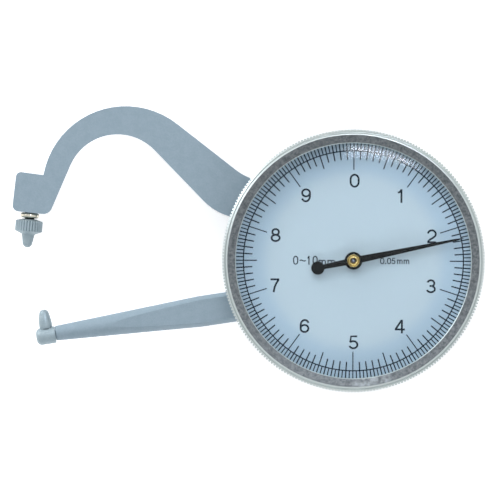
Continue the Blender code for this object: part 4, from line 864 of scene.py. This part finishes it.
@dataclass
class Crystal:
    """The clear crystal: nearly flat in the middle, with a shoulder that curves down to its edge."""

    radius: float = 22.28
    bottom: float = 12.55
    thickness: float = 1.0
    rise: float = 1.6
    power: float = 3.6
    rings: int = 30
    steps: int = 192
    # The rolled edge: how far inside the radius each corner lies and how far below the dome
    edge: tuple[Spot, ...] = ((0.22, 0.0), (0.14, 0.02), (0.06, 0.08), (0.0, 0.2))
    edge_width: float = 0.3

    def dome(self, reach: float, height: float) -> Spot:
        """Give the corner of a dome at a distance from the axis, from its rim's height."""
        return reach, height + self.rise * (1 - (reach / self.radius) ** self.power)

    def build(self) -> None:
        """Turn the crystal from its outer and its inner dome."""
        inner = self.radius - self.edge_width
        reaches = [inner * index / self.rings for index in range(self.rings + 1)]
        rim = self.bottom + self.thickness
        rolled = [self.dome(self.radius - inset, rim - drop) for inset, drop in self.edge]
        lower = [self.dome(reach, self.bottom) for reach in reversed([*reaches, self.radius])]
        bm = turned([self.dome(reach, rim) for reach in reaches] + rolled + lower, self.steps)
        piece = finish_mesh(bm, "domed_crystal", "bezel_group", "crystal")
        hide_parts("crystal")


class Mark(Enum):
    """A dial line's kind: its inner radius and its width."""

    TWENTIETH = (20.78, 0.21)
    TENTH = (19.13, 0.24)
    HALF = (18.22, 0.22)
    NUMBERED = (17.20, 0.2)


@dataclass
class Lettering:
    """The dial's plain round-shouldered letters: the middle lines of their strokes, drawn one high."""

    width: float = 0.7
    stroke: float = 0.125

    def six(self) -> list:
        """Give the six, which is also the nine upside down."""
        return [bend((0.35, 0.32), (0.28, 0.2575), 0, 360),
                [(0.07, 0.32), *bend((0.37, 0.55), (0.3, 0.3875), 180, 28)]]

    def reach(self, letter: str) -> float:
        """Give a letter's natural width, where its height is 1."""
        return {"m": 0.925, "~": 0.84, ".": 0.22}.get(letter, self.width)

    def glyph(self, letter: str) -> list:
        """Give a letter's strokes.

        Args:
            letter: A figure, a point, a wave or the letter m.

        Returns:
            Its strokes, each a list of points. One that ends where it starts is closed.
        """
        if letter == "9":
            return [[(self.width - x, 1 - y) for x, y in line] for line in self.six()]
        shapes = {
            "0": [[*bend((0.35, 0.6), (0.29, 0.3375), 0, 180),
                   *bend((0.35, 0.4), (0.29, 0.3375), 180, 360), (0.64, 0.6)]],
            "1": [[(0.37, 0.0), (0.37, 1.0)],
                  [(0.1, 0.755), (0.19, 0.765), (0.27, 0.81), (0.32, 0.88), (0.345, 0.97)]],
            "2": [[*bend((0.35, 0.66), (0.28, 0.2775), 172, -30), (0.42, 0.38), (0.2, 0.24), (0.1, 0.14),
                   (0.085, 0.0625)], [(0.02, 0.0625), (0.66, 0.0625)]],
            "3": [bend((0.335, 0.72), (0.245, 0.2175), 165, -70),
                  bend((0.335, 0.29), (0.285, 0.2275), 72, -165),
                  [(0.24, 0.515), (0.4, 0.515)]],
            "4": [[(0.51, 0.0), (0.51, 1.0)], [(0.48, 0.95), (0.06, 0.31)],
                  [(0.0, 0.285), (0.73, 0.285)]],
            "5": [[(0.62, 0.9375), (0.18, 0.9375), (0.115, 0.5)],
                  bend((0.345, 0.325), (0.29, 0.2625), 142, -162)],
            "6": self.six(),
            "7": [[(0.03, 0.9375), (0.66, 0.9375)],
                  [(0.62, 0.92), (0.46, 0.68), (0.33, 0.38), (0.26, 0.0)]],
            "8": [bend((0.35, 0.725), (0.235, 0.2125), 0, 360),
                  bend((0.35, 0.29), (0.29, 0.2275), 0, 360)],
            "m": [[(0.06, 0.0), (0.06, 0.56)], [*bend((0.26, 0.33), (0.2, 0.18), 180, 0), (0.46, 0.0)],
                  [*bend((0.66, 0.33), (0.2, 0.18), 180, 0), (0.86, 0.0)]],
            "~": [[*bend((0.2, 0.4), (0.16, 0.12), 165, 50),
                   *bend((0.54, 0.52), (0.18, 0.1), 235, 345)]],
            ".": [[(-0.03, 0.05), (0.25, 0.05)], [(-0.03, 0.09), (0.25, 0.09)]],
        }
        return shapes[letter]


@dataclass
class Dial:
    """The printed dial: its lines, its figures and the two notes beside the pointer's boss."""

    top: float = 11.25
    ink: float = 0.012
    outer: float = 22.05
    circle: float = 20.78
    circle_width: float = 0.22
    circle_steps: int = 256
    lines: int = 200
    turned_by: float = -0.3
    figure_ring: float = 15.34
    figure_height: float = 2.58
    figure_width: float = 1.87
    # How far each figure is printed from its even place on the ring
    figure_shifts: tuple[Spot, ...] = (
        (0.15, -0.19), (-0.05, -0.12), (0.22, -0.03), (0.13, 0.0), (-0.2, 0.02),
        (0.08, -0.08), (-0.17, 0.03), (-0.23, 0.02), (-0.15, 0.05), (-0.01, -0.08),
    )
    stroke: float = 0.36
    # The notes' letters, then the row's start and its stroke
    range_note: tuple[tuple[Letter, ...], Spot, float] = (
        (("0", 0.0, 0.98, 1.7), ("~", 1.18, 1.4, 1.7), ("1", 2.55, 0.86, 1.7),
         ("0", 3.68, 0.98, 1.7), ("m", 4.8, 1.42, 1.72), ("m", 6.5, 1.5, 1.72)),
        (-11.42, -0.8), 0.22)
    division_note: tuple[tuple[Letter, ...], Spot, float] = (
        (("0", 0.0, 0.82, 1.18), (".", 0.94, 0.24, 1.6), ("0", 1.32, 0.78, 1.18),
         ("5", 2.16, 0.76, 1.18), ("m", 3.22, 1.04, 1.55), ("m", 4.48, 1.04, 1.55)),
        (5.05, -0.59), 0.17)
    letters: Lettering = field(default_factory=Lettering)

    def kind(self, index: int) -> Mark:
        """Give the kind of a line.

        Args:
            index: Its place on the scale.

        Returns:
            Its kind.
        """
        for step, mark in ((20, Mark.NUMBERED), (10, Mark.HALF), (2, Mark.TENTH)):
            if index % step == 0:
                return mark
        return Mark.TWENTIETH

    def scale(self) -> BMesh:
        """Lay out the lines and the thin circle that crosses them.

        Returns:
            The printed scale as one shape, its zero at the top.
        """
        half = self.circle_width / 2
        low, high = self.top, self.top + self.ink
        bm = turned([(self.circle - half, high), (self.circle + half, high),
                     (self.circle + half, low), (self.circle - half, low)], self.circle_steps)
        for index in range(self.lines):
            inner, width = self.kind(index).value
            middle = shift(0.0, (inner + self.outer) / 2, self.top + self.ink / 2)
            block(bm, (width, self.outer - inner, self.ink), turn_z(-360 * index / self.lines) @ middle)
        return bm

    def print_words(self, name: str, words: tuple[Letter, ...], foot: Spot, stroke: float) -> None:
        """Print a row of letters as thin strokes of ink.

        Args:
            name: The piece's name.
            words: Each letter, its left edge from the row's start, its width and its height.
            foot: The start of the row's base line.
            stroke: How thick the strokes are.
        """
        curve = bpy.data.curves.new(name, "CURVE")
        curve.dimensions = "3D"
        curve.bevel_depth = stroke / 2
        curve.bevel_resolution = 1
        curve.use_fill_caps = True
        for letter, start, width, height in words:
            share = (width - stroke) / (self.letters.reach(letter) - self.letters.stroke)
            left = start + stroke / 2 - self.letters.stroke / 2 * share
            for line in self.letters.glyph(letter):
                closed = math.dist(line[0], line[-1]) < 0.01
                points = line[:-1] if closed else line
                spline = curve.splines.new("POLY")
                spline.points.add(len(points) - 1)
                for point, (x, y) in zip(spline.points, points):
                    point.co = (left + x * share, y * height, 0.0, 1.0)
                spline.use_cyclic_u = closed
        drawn = add_object(name, curve)
        bm = final_shape(drawn)
        bpy.data.objects.remove(drawn)
        thin = Matrix.Diagonal((1.0, 1.0, self.ink / stroke, 1.0))
        lay(bm, turn_z(self.turned_by) @ shift(*foot, self.top + self.ink / 2) @ thin)
        finish_mesh(bm, name, "bezel_group", "ink", smoothing=Smoothing.FLAT)

    def build(self) -> None:
        """Print the scale, the ten figures and the two notes, and lay the enamel."""
        bm = lay(self.scale(), turn_z(self.turned_by))
        finish_mesh(bm, "dial_scale", "bezel_group", "ink", smoothing=Smoothing.FLAT)
        for figure, (right, up) in enumerate(self.figure_shifts):
            angle = math.radians(90 - 36 * figure)
            foot = (self.figure_ring * math.cos(angle) - self.figure_width / 2 + right,
                    self.figure_ring * math.sin(angle) - self.figure_height / 2 + up)
            word = (str(figure), 0.0, self.figure_width, self.figure_height)
            self.print_words(f"dial_figure_{figure}", (word,), foot, self.stroke)
        self.print_words("dial_range_note", *self.range_note)
        self.print_words("dial_division_note", *self.division_note)
        dress("dial_plate", "dial")


@dataclass
class Pointer:
    """The black pointer with its balance disc, and the brass boss that holds it."""

    reading: float = 2.18
    bottom: float = 12.05
    thickness: float = 0.25
    edge: float = 0.04
    hub: float = 1.68
    bore: float = 0.86
    length: float = 21.3
    taper: float = 19.9
    root: float = 1.4
    neck: float = 0.4
    tip: float = 0.08
    tail: float = 6.87
    tail_disc: float = 1.26
    tail_root: float = 1.29
    tail_end: float = 0.81
    boss_bottom: float = 12.35
    boss_height: float = 0.55
    # The boss's face: radius and share of the boss's height, from the bore to the outside
    boss_face: tuple[Spot, ...] = (
        (0.42, 0.2), (0.5, 0.36), (0.6, 0.7), (0.7, 0.86), (0.84, 0.84), (0.93, 0.6), (0.98, 0.56),
        (1.05, 0.92), (1.1, 1.0), (1.16, 0.88), (1.22, 0.6),
    )
    boss_edge: float = 0.02
    sleeve: float = 0.8
    sleeve_bottom: float = 11.27

    def strip(self, start: float, end: float, first: float, last: float) -> BMesh:
        """Make a tapering strip along X.

        Args:
            start: Where it starts.
            end: Where it ends.
            first: Its width at the start.
            last: Its width at the end.

        Returns:
            The strip.
        """
        bm = bmesh.new()
        wire(bm, [(start, -first / 2, 0.0), (end, -last / 2, 0.0), (end, last / 2, 0.0),
                  (start, first / 2, 0.0)])
        bmesh.ops.contextual_create(bm, geom=bm.edges[:])
        thicken(bm, self.thickness)
        return bm

    def blade(self) -> None:
        """Stamp the pointer: hub, blade, tail and balance disc in one."""
        parts = [
            self.strip(0.0, self.taper, self.root, self.neck),
            self.strip(self.taper - 0.001, self.length, self.neck, self.tip),
            self.strip(-self.tail, 0.0, self.tail_end, self.tail_root),
            rod(self.tail_disc, self.thickness, shift(-self.tail, 0.0, 0.0), 64),
        ]
        bm = carve(rod(self.hub, self.thickness, Matrix.Identity(4), 72), parts, "UNION")
        bm = carve(bm, [rod(self.bore, 2.0, shift(0.0, 0.0, -0.5))])
        bmesh.ops.dissolve_limit(bm, angle_limit=math.radians(0.5), verts=bm.verts, edges=bm.edges)
        upper = [e for e in sharp_edges(bm, 60.0) if all(v.co.z > self.thickness * 0.9 for v in e.verts)]
        soften(bm, upper, self.edge, 1)
        lay(bm, shift(0.0, 0.0, self.bottom) @ turn_z(90 - 36 * self.reading))
        piece = finish_mesh(bm, "pointer_blade", "pointer_group", "black")
        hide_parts("pointer")

    def boss(self) -> None:
        """Turn the boss, with a raised rim, a dished ring and a sleeve down to the dial, and painted
        shade in its groove and round its bore.
        """
        foot = self.boss_bottom
        inner, outer = self.boss_face[0][0], self.boss_face[-1][0]
        profile = [(radius, foot + self.boss_height * share) for radius, share in self.boss_face] + [
            (outer, foot + self.boss_edge), (self.sleeve, foot), (self.sleeve, self.sleeve_bottom),
            (inner, self.sleeve_bottom),
        ]
        bm = turned(profile, SMALL, self.boss_edge)
        # The dish's groove and the ring round the bore take the brown brass as painted shade
        number_faces(bm, 1, lambda spot: spot.z > foot and (
            spot.xy.length < 0.56 or 0.92 < spot.xy.length < 1.01))
        piece = finish_mesh(bm, "brass_boss", "pointer_group", "brass", "brass_painted_shade")
        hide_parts("pointer_boss")

    def build(self) -> None:
        """Make the blade and its boss."""
        self.blade()
        self.boss()


@dataclass
class MovingArm:
    """The flat arched arm, its block, its tail and the thumb head on the tail's end."""

    bottom: float = 2.5
    thickness: float = 4.2
    edge: float = 0.34
    pivot: Spot = (-14.549, 9.07)
    shaft_hole: float = 1.26
    # The outline's corners, each with the radius of its rounding
    corners: tuple[Place, ...] = (
        (-63.931, 16.963, 0.95),
        (-64.793, 9.51, 1.15),
        (-57.8, 8.75, 1.75),
        (-47.951, 31.593, 9.754),
        (-26.39, 9.247, 10.768),
        (-13.563, 5.561, 3.1),
        (1.842, 22.33, 0.25),
        (-0.206, 24.522, 0.25),
        (-10.373, 15.024, 1.5),
        (-19.412, 15.024, 10.668),
        (-53.852, 41.921, 15.842),
        (-58.815, 16.273, 0.12),
    )
    anvil_tip: Place = (-61.962, 2.543, 4.6)
    anvil_up: Place = (0.08716, 0.99619, 0.0)
    # The anvil's bore: radius, start above the tip and length. The screws' bores: radius and length
    anvil_hole: Place = (1.06, 3.0, 8.35)
    screw_hole: Spot = (0.51, 3.0)
    pin_hole_bottom: float = 1.0
    clearance: float = 0.05
    head_angle: float = 88.0
    head_spread: float = 9.0
    head_inner: float = 23.2
    head_thickness: float = 1.6
    head_height: float = 5.2
    head_edge: float = 0.35
    grooves: int = 5
    groove: float = 0.3

    def bores(self) -> list[BMesh]:
        """List the bores for the anvil's shank, the sector's screws and the spring's pin.

        Returns:
            The shapes to cut.
        """
        radius, foot, length = self.anvil_hole
        tools = [rod(radius, length, stand(self.anvil_tip, self.anvil_up) @ shift(0.0, 0.0, foot))]
        for node in ("sector_screw_1", "sector_screw_2"):
            low, middle, _ = node_box(node)
            tools.append(rod(*self.screw_hole, shift(middle.x, middle.y, low.z - self.clearance), HOLE))
        low, middle, high = node_box("arm_spring_pin")
        tools.append(rod((high.x - low.x) / 2 + 0.03, high.z + self.clearance - self.pin_hole_bottom,
                         shift(middle.x, middle.y, self.pin_hole_bottom), HOLE))
        return tools

    def head(self) -> BMesh:
        """Make the thumb head, a short curved pad round the case, with grip grooves across it.

        Returns:
            The head.
        """
        bm = bmesh.new()
        inner = self.head_inner
        outer = inner + self.head_thickness
        low = self.anvil_tip[2] - self.head_height / 2
        high = low + self.head_height
        wire(bm, [(inner, 0.0, low), (outer, 0.0, low), (outer, 0.0, high), (inner, 0.0, high)])
        bmesh.ops.contextual_create(bm, geom=bm.edges[:])
        lay(bm, turn_z(self.head_angle - self.head_spread))
        bmesh.ops.spin(bm, geom=bm.faces[:], cent=CENTRE, axis=(0.0, 0.0, 1.0), dvec=CENTRE,
                       angle=math.radians(self.head_spread * 2), steps=24)
        bmesh.ops.recalc_face_normals(bm, faces=bm.faces)
        soften(bm, sharp_edges(bm, 60.0), self.head_edge, 3)
        tools = []
        for index in range(self.grooves):
            share = (index + 0.5) / self.grooves * 2 - 1
            turn = turn_z(self.head_angle + self.head_spread * 0.8 * share)
            place = shift(*(turn @ Vector((outer + 0.12, 0.0, low - 0.5))))
            tools.append(rod(self.groove, self.head_height + 1.0, place, 16))
        return carve(bm, tools)

    def build(self) -> None:
        """Make the arm and its thumb head."""
        hole = (*self.pivot, self.shaft_hole)
        bm = carve(plate(self.corners, self.bottom, self.thickness, self.edge, [hole]), self.bores())
        piece = finish_mesh(bm, "arched_arm", "arm", "arm")
        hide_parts("moving_arm")
        finish_mesh(self.head(), "thumb_head", "arm", "arm")


@dataclass
class Anvil:
    """The adjustable anvil with its fluted collar, and its round lock nut."""

    tip: Place = (-61.962, 2.543, 4.6)
    up: Place = (0.08716, 0.99619, 0.0)
    flutes: int = 28
    steps_per_flute: int = 8
    collar: float = 2.575
    # The collar's outline from the pin to the shank, as radius and height above the tip
    collar_outline: tuple[Spot, ...] = (
        (1.22, 2.48), (1.32, 2.56), (2.275, 2.96), (2.575, 3.12), (2.575, 5.0), (2.375, 5.08),
        (1.3, 5.42), (0.86, 5.42),
    )
    flute_depth: float = 0.24
    land: float = 0.4
    collar_foot: float = 2.56
    collar_top: float = 5.42
    shank: float = 1.0
    shank_top: float = 11.22
    # The ridges' depth and pitch, where the thread shows between the collar and the nut
    ridge: Spot = (0.14, 0.13)
    tip_radius: float = 0.93
    nut_radius: float = 1.82
    nut_bottom: float = 5.59
    nut_length: float = 1.0

    def spindle(self) -> None:
        """Turn the pin, collar and shank, then cut the flutes."""
        depth, pitch = self.ridge
        tip = bend((0.0, self.tip_radius), (self.tip_radius, self.tip_radius), -90, 0, 7)
        profile = [(0.0, 0.0), *tip[1:], *self.collar_outline]
        for height in (self.collar_top, self.collar_top + pitch):
            profile += [(self.shank, height + pitch / 2), (self.shank - depth, height + pitch)]
        profile += [(self.shank, self.nut_bottom + 0.1), (self.shank, self.shank_top),
                    (0.0, self.shank_top)]
        bm = turned(profile, self.flutes * self.steps_per_flute)
        self.flute(bm)
        number_faces(bm, 1, lambda spot: spot.z > self.collar_top + 0.01 or (
            spot.z > self.collar_top - 0.01 and spot.xy.length < self.shank + 0.1))
        lay(bm, stand(self.tip, self.up))
        piece = finish_mesh(bm, "fluted_anvil", "anvil", "tip", "dark")
        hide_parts("anvil_spindle")

    def flute(self, bm: BMesh) -> None:
        """Cut the flutes into the collar, so that they run out at both of its ends.

        Args:
            bm: The turned spindle, upright.
        """
        middle = (self.collar_foot + self.collar_top) / 2
        for vert in bm.verts:
            reach = vert.co.xy.length
            if reach > self.collar - 0.01:
                turn = math.atan2(vert.co.y, vert.co.x) / math.tau * self.flutes
                depth = self.flute_depth * max(0.0, 1 - 2 * abs(turn - round(turn)) / (1 - self.land))
                vert.co.xy *= 1 - depth / reach
                vert.co.z += math.copysign(depth / 2, vert.co.z - middle)

    def nut(self) -> None:
        """Turn the lock nut, a polished round with a full edge."""
        half = self.nut_length / 2
        bore = self.shank + 0.06
        edge = bend((self.nut_radius - half, self.nut_bottom + half), (half, half), -90, 90, 12)
        profile = [(bore, self.nut_bottom), *edge, (bore, self.nut_bottom + self.nut_length)]
        bm = lay(turned(profile, SMALL), stand(self.tip, self.up))
        piece = finish_mesh(bm, "round_lock_nut", "nut", "nickel", smoothing=Smoothing.ROUND)
        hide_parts("lock_nut")

    def build(self) -> None:
        """Make the anvil and its nut."""
        self.spindle()
        self.nut()


@dataclass
class FixedArm:
    """The straight tapered arm with its front flat, its cap and its upright stylus."""

    out: Place = (-0.98876, -0.14954, 0.0)
    up: Place = (-0.14954, 0.98876, 0.0)
    foot: Place = (0.7739, -5.1168, 4.6)
    radius: float = 2.93
    end_radius: float = 1.42
    taper_start: float = 30.18
    end: float = 58.0
    # The end's rounded edge: how far inside its radius and how far short of it each corner lies
    end_round: tuple[Spot, ...] = ((0.2, 0.0), (0.06, 0.18), (0.0, 0.5))
    shoulder: float = 17.5
    spigot_end: float = 13.2
    spigot: float = 2.2
    flat_height: float = 1.99
    flat_from: float = 22.8
    stud: float = 0.8
    stud_length: float = 2.4
    # The pins' bores: radius and length
    pin_hole: Spot = (0.65, 9.0)
    pin_hole_bottom: float = 0.5
    clearance: float = 0.05
    cap_radius: float = 1.6
    cap_start: float = 58.04
    cap_length: float = 3.64
    cap_drop: float = 0.21
    # How far the cap's end is rounded off, across and along
    cap_round: Spot = (1.1, 0.9)
    cap_edge: float = 0.04
    stylus_place: float = 59.6
    stylus_seat: float = 1.16
    stylus_shank: float = 0.6
    # The stylus's outline above the arm's axis, from its tip down to its foot
    stylus_outline: tuple[Spot, ...] = (
        (0.0, 4.81), (0.21, 4.8), (0.42, 4.73), (0.6, 4.62), (0.75, 4.48), (0.85, 4.3), (0.92, 4.08),
        (1.02, 3.62), (1.14, 2.98), (1.21, 2.4), (1.23, 1.95), (1.23, 1.6), (1.19, 1.32),
    )

    def bar(self) -> None:
        """Turn the arm, mill its front flat and drill it for the cap and the pins."""
        hole = self.stud + self.clearance
        hole_end = self.end - self.stud_length - self.clearance
        profile = [
            (0.0, hole_end), (hole, hole_end), (hole, self.end),
            *((self.end_radius - inset, self.end - short) for inset, short in self.end_round),
            (self.radius, self.taper_start), (self.radius, self.shoulder), (self.spigot, self.shoulder),
            (self.spigot, self.spigot_end), (0.0, self.spigot_end),
        ]
        bm = lay(turned(profile, LARGE), stand(self.foot, self.out))
        spare = 2.0
        length = self.end + spare - self.flat_from
        middle = Vector(self.foot) + Vector(self.out) * (self.flat_from + length / 2)
        turn = Matrix.Rotation(math.atan2(self.out[1], self.out[0]), 4, "Z")
        place = shift(middle.x, middle.y, self.foot[2] + self.flat_height + spare) @ turn
        tools = [block(bmesh.new(), (length, 2 * self.radius + spare, 2 * spare), place)]
        for node in ("fixed_arm_pin_1", "fixed_arm_pin_2"):
            _, centre, _ = node_box(node)
            tools.append(rod(*self.pin_hole, shift(centre.x, centre.y, self.pin_hole_bottom), HOLE))
        piece = finish_mesh(carve(bm, tools), "tapered_arm", "case", "arm", smoothing=Smoothing.MILLED)
        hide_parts("fixed_arm")

    def cap(self) -> None:
        """Turn the cap with its rounded end and its stud, and sink the stylus's seat."""
        end = self.cap_start + self.cap_length
        width, depth = self.cap_round
        profile = [
            (0.0, end), *bend((self.cap_radius - width, end - depth), self.cap_round, 90, 0, 6),
            (self.cap_radius, self.cap_start + self.cap_edge),
            (self.cap_radius - self.cap_edge, self.cap_start),
            (self.stud, self.cap_start), (self.stud, self.end - self.stud_length),
            (0.0, self.end - self.stud_length),
        ]
        lowered = Vector(self.foot) - Vector(self.up) * self.cap_drop
        bm = lay(turned(profile, SMALL), stand(tuple(lowered), self.out))
        place = Vector(self.foot) + Vector(self.out) * self.stylus_place
        upright = stand(tuple(place), self.up)
        seat = rod(self.stylus_outline[-1][0] + 0.02, 5.0,
                   upright @ shift(0.0, 0.0, self.stylus_seat - 0.02))
        shank = rod(self.stylus_shank + self.clearance, 3.0,
                    upright @ shift(0.0, 0.0, -self.stylus_shank))
        piece = finish_mesh(carve(bm, [seat, shank]), "rounded_cap", "case", "tip")
        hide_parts("stylus_cap")
        self.stylus(upright)

    def stylus(self, upright: Matrix) -> None:
        """Turn the stylus, a swelling pin with a round tip.

        Args:
            upright: Where it stands.
        """
        profile = [
            *self.stylus_outline, (self.stylus_outline[-1][0] - 0.04, self.stylus_seat),
            (self.stylus_shank, self.stylus_seat), (self.stylus_shank, 0.0), (0.0, 0.0),
        ]
        piece = finish_mesh(lay(turned(profile, SMALL), upright), "tapered_stylus", "case", "tip")
        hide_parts("stylus")

    def build(self) -> None:
        """Make the arm, its cap and its stylus."""
        self.bar()
        self.cap()


@dataclass
class Housing:
    """The case, its back cover and screws, and the finishes of the works inside."""

    # The cutter of the screws' slots: length, width and height, of which half goes into the head
    slot: Place = (4.5, 0.42, 0.8)
    # The slots point their own ways, as on screws that were driven home
    slot_angles: Place = (82.0, 129.0, 176.0)
    shell_edge: float = 0.12
    cover_edge: float = 0.1

    # The CAD nodes that are shown as they are, by their finish
    inside: dict[str, tuple[str, ...]] = field(default_factory=lambda: {
        "arbor": ("centre_pinion",),
        "brass": ("sector_gear", "intermediate_wheel", "lower_plate", "upper_plate", "hairspring_collet",
                  "hairspring_stud", "movement_pillar_1", "movement_pillar_2", "movement_pillar_3"),
        "steel": ("intermediate_pinion", "pivot_shaft", "arm_spring_pin", "spring_post",
                  "fixed_arm_pin_1", "fixed_arm_pin_2", "movement_screw_1", "movement_screw_2",
                  "movement_screw_3", "sector_screw_1", "sector_screw_2"),
        "dark": ("hairspring", "bezel_retaining_ring"),
        "lip": ("dial_spacer_ring",),
    })

    def refine(self, node: str, name: str, finish: str, edge: float) -> None:
        """Make a finer piece from a CAD node: its flat faces joined up and its edges rounded.

        Args:
            node: The CAD node whose shape is right.
            name: The new piece's name.
            finish: Its finish's key.
            edge: How far its edges are rounded off.
        """
        bm = node_shape(node)
        bmesh.ops.dissolve_limit(bm, angle_limit=math.radians(1.0), verts=bm.verts, edges=bm.edges)
        soften(bm, sharp_edges(bm, 50.0), edge)
        piece = finish_mesh(bm, name, "case", finish)
        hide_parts(node)

    def screw(self, number: int, angle: float) -> None:
        """Cut a slot into a cover screw's head and brighten it.

        Args:
            number: The screw's number.
            angle: How far its slot is turned.
        """
        node = f"back_cover_screw_{number}"
        low, middle, _ = node_box(node)
        cut = block(bmesh.new(), self.slot, shift(middle.x, middle.y, low.z) @ turn_z(angle))
        bm = carve(node_shape(node), [cut])
        piece = finish_mesh(bm, f"slotted_cover_screw_{number}", "case", "steel")
        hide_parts(node)

    def spring(self) -> None:
        """Copy the return spring between its post and the arm's pin, on no body."""
        bm = node_shape("return_spring", MERGE)
        piece = finish_mesh(bm, "stretching_return_spring", "", "dark", smoothing=Smoothing.ROUND)
        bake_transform(piece)
        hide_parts("return_spring")

    def build(self) -> None:
        """Make the case's pieces and dress what they hold."""
        self.spring()
        self.refine("case_body", "case_shell", "case", self.shell_edge)
        self.refine("back_cover", "turned_cover", "cover", self.cover_edge)
        for number, angle in enumerate(self.slot_angles, 1):
            self.screw(number, angle)
        for finish, nodes in self.inside.items():
            for node in nodes:
                dress(node, finish)


# The stage


@dataclass
class Stage:
    """The white table, the lamps over it and the camera that looks straight down."""

    # The photograph: its side and the pointer's axis in pixels, a pixel in millimetres, and the height
    # of the bezel's face that the scale was taken at
    pixels: int = 500
    centre: Spot = (353.5, 260.8)
    scale: float = 0.18939
    plane: float = 14.15
    distance: float = 3.0
    sensor: float = 36.0
    clip: Spot = (0.1, 20.0)
    ambient: float = 0.5
    table_glow: float = 0.62
    table_level: float = -0.05
    # In metres, as are the lamps' places
    gauge_middle: Place = (-0.02, 0.0, 0.005)

    def camera(self) -> None:
        """Stand the camera over the photograph's middle with a long lens."""
        data = bpy.data.cameras.new("camera")
        data.sensor_width = self.sensor
        data.lens = self.sensor * self.distance / (self.pixels * self.scale * MM)
        data.clip_start, data.clip_end = self.clip
        camera = add_object("camera", data)
        right, down = ((self.pixels / 2 - place) * self.scale * MM for place in self.centre)
        camera.location = (right, -down, self.distance + self.plane * MM)
        bpy.context.scene.camera = camera

    def lamp(self, name: str, place: Place, size: Spot, power: float, target: Place | None = None,
             turn: float = 0.0) -> Object:
        """Hang a soft rectangular lamp that looks at a point.

        Args:
            name: The lamp's name.
            place: Where it hangs, in metres.
            size: Its width and height in metres.
            power: Its power in watts.
            target: The point that it looks at, or else the gauge's middle.
            turn: How far it is turned about the way it looks, in degrees.

        Returns:
            The lamp.
        """
        data = bpy.data.lights.new(name, "AREA")
        data.shape = "RECTANGLE"
        data.size, data.size_y = size
        data.energy = power
        lamp = add_object(name, data)
        lamp.location = place
        lamp.rotation_mode = "QUATERNION"
        aim = (Vector(target or self.gauge_middle) - Vector(place)).to_track_quat("-Z", "Y")
        lamp.rotation_quaternion = aim @ Quaternion((0.0, 0.0, 1.0), math.radians(turn))
        return lamp

    def seen_white(self, tree: NodeTree) -> Node:
        """Give 1 for rays that see the stage directly, in a mirror or through glass, but not as light.

        Args:
            tree: The node tree.

        Returns:
            The node that gives 1 or 0.
        """
        path = add_node(tree, "ShaderNodeLightPath").outputs
        first = add_node(tree, "ShaderNodeMath", {0: path["Is Camera Ray"], 1: path["Is Glossy Ray"]},
                         operation="MAXIMUM")
        both = add_node(tree, "ShaderNodeMath", {0: first, 1: path["Is Transmission Ray"]},
                        operation="MAXIMUM")
        straight = add_node(tree, "ShaderNodeMath", {0: path["Diffuse Depth"], 1: 0.5},
                            operation="LESS_THAN")
        return add_node(tree, "ShaderNodeMath", {0: both, 1: straight}, operation="MULTIPLY")

    def world(self) -> None:
        """Light the scene evenly from all round, seen as plain white."""
        world = bpy.data.worlds.new("studio")
        world.use_nodes = True
        tree = world.node_tree
        strength = add_node(tree, "ShaderNodeMapRange", {
            "Value": self.seen_white(tree), "To Min": self.ambient, "To Max": 1.0})
        fill(tree, tree.nodes["Background"], {"Color": linear("#F6F9FC"), "Strength": strength})
        bpy.context.scene.world = world

    def floor(self) -> None:
        """Lay a wide white table that keeps the gauge's soft shadow."""
        bm = bmesh.new()
        bmesh.ops.create_grid(bm, x_segments=8, y_segments=8, size=3.0,
                              matrix=shift(0.0, 0.0, self.table_level * MM))
        table = add_mesh(bm, "table")
        material, tree, shader = new_material("white_table")
        glow = add_node(tree, "ShaderNodeMath", {0: self.seen_white(tree), 1: self.table_glow},
                        operation="MULTIPLY")
        fill(tree, shader, {
            "Base Color": linear("#F4F5F6"), "Roughness": 0.9, "Specular IOR Level": 0.1,
            "Emission Color": linear("#FFFFFF"), "Emission Strength": glow})
        table.data.materials.append(material)

    def build(self) -> None:
        """Set the camera, the lamps and the table."""
        self.camera()
        self.world()
        self.floor()
        # Lamps that light the gauge but show in no reflection
        for lamp in (self.lamp("key", (-0.25, 0.9, 0.42), (0.7, 0.5), 6.6),
                     self.lamp("fill", (0.15, -0.85, 0.45), (0.6, 0.4), 2.7)):
            lamp.visible_glossy = False
        self.lamp("left", (-0.8, 0.55, 0.42), (0.3, 0.5), 2.0)
        # Lamps that show only in reflections: the streak on the crystal and the rim's bright left side
        for glare in (self.lamp("window", (0.088, 0.2925, 0.6), (0.21, 0.095), 0.9,
                                (0.088, 0.2925, 0.0)),
                      self.lamp("window_bar", (0.083, 0.289, 0.599), (0.17, 0.02), 0.32,
                                (0.083, 0.289, 0.0), -12.0),
                      self.lamp("left_card", (-0.85, 0.5, 0.25), (0.4, 0.4), 1.0)):
            glare.visible_diffuse = False
            glare.data.color = linear("#F2F6FF")[:3]
        bpy.context.scene.view_settings.view_transform = "Standard"


def main() -> None:
    """Build the gauge, piece by piece, then the stage."""
    logging.basicConfig(level=logging.INFO, format="%(name)s %(message)s")
    for assembly in (Housing(), FixedArm(), MovingArm(), Anvil(), Bezel(), Dial(), Pointer(), Crystal()):
        assembly.build()
    Stage().build()


if __name__ == "__main__":
    main()
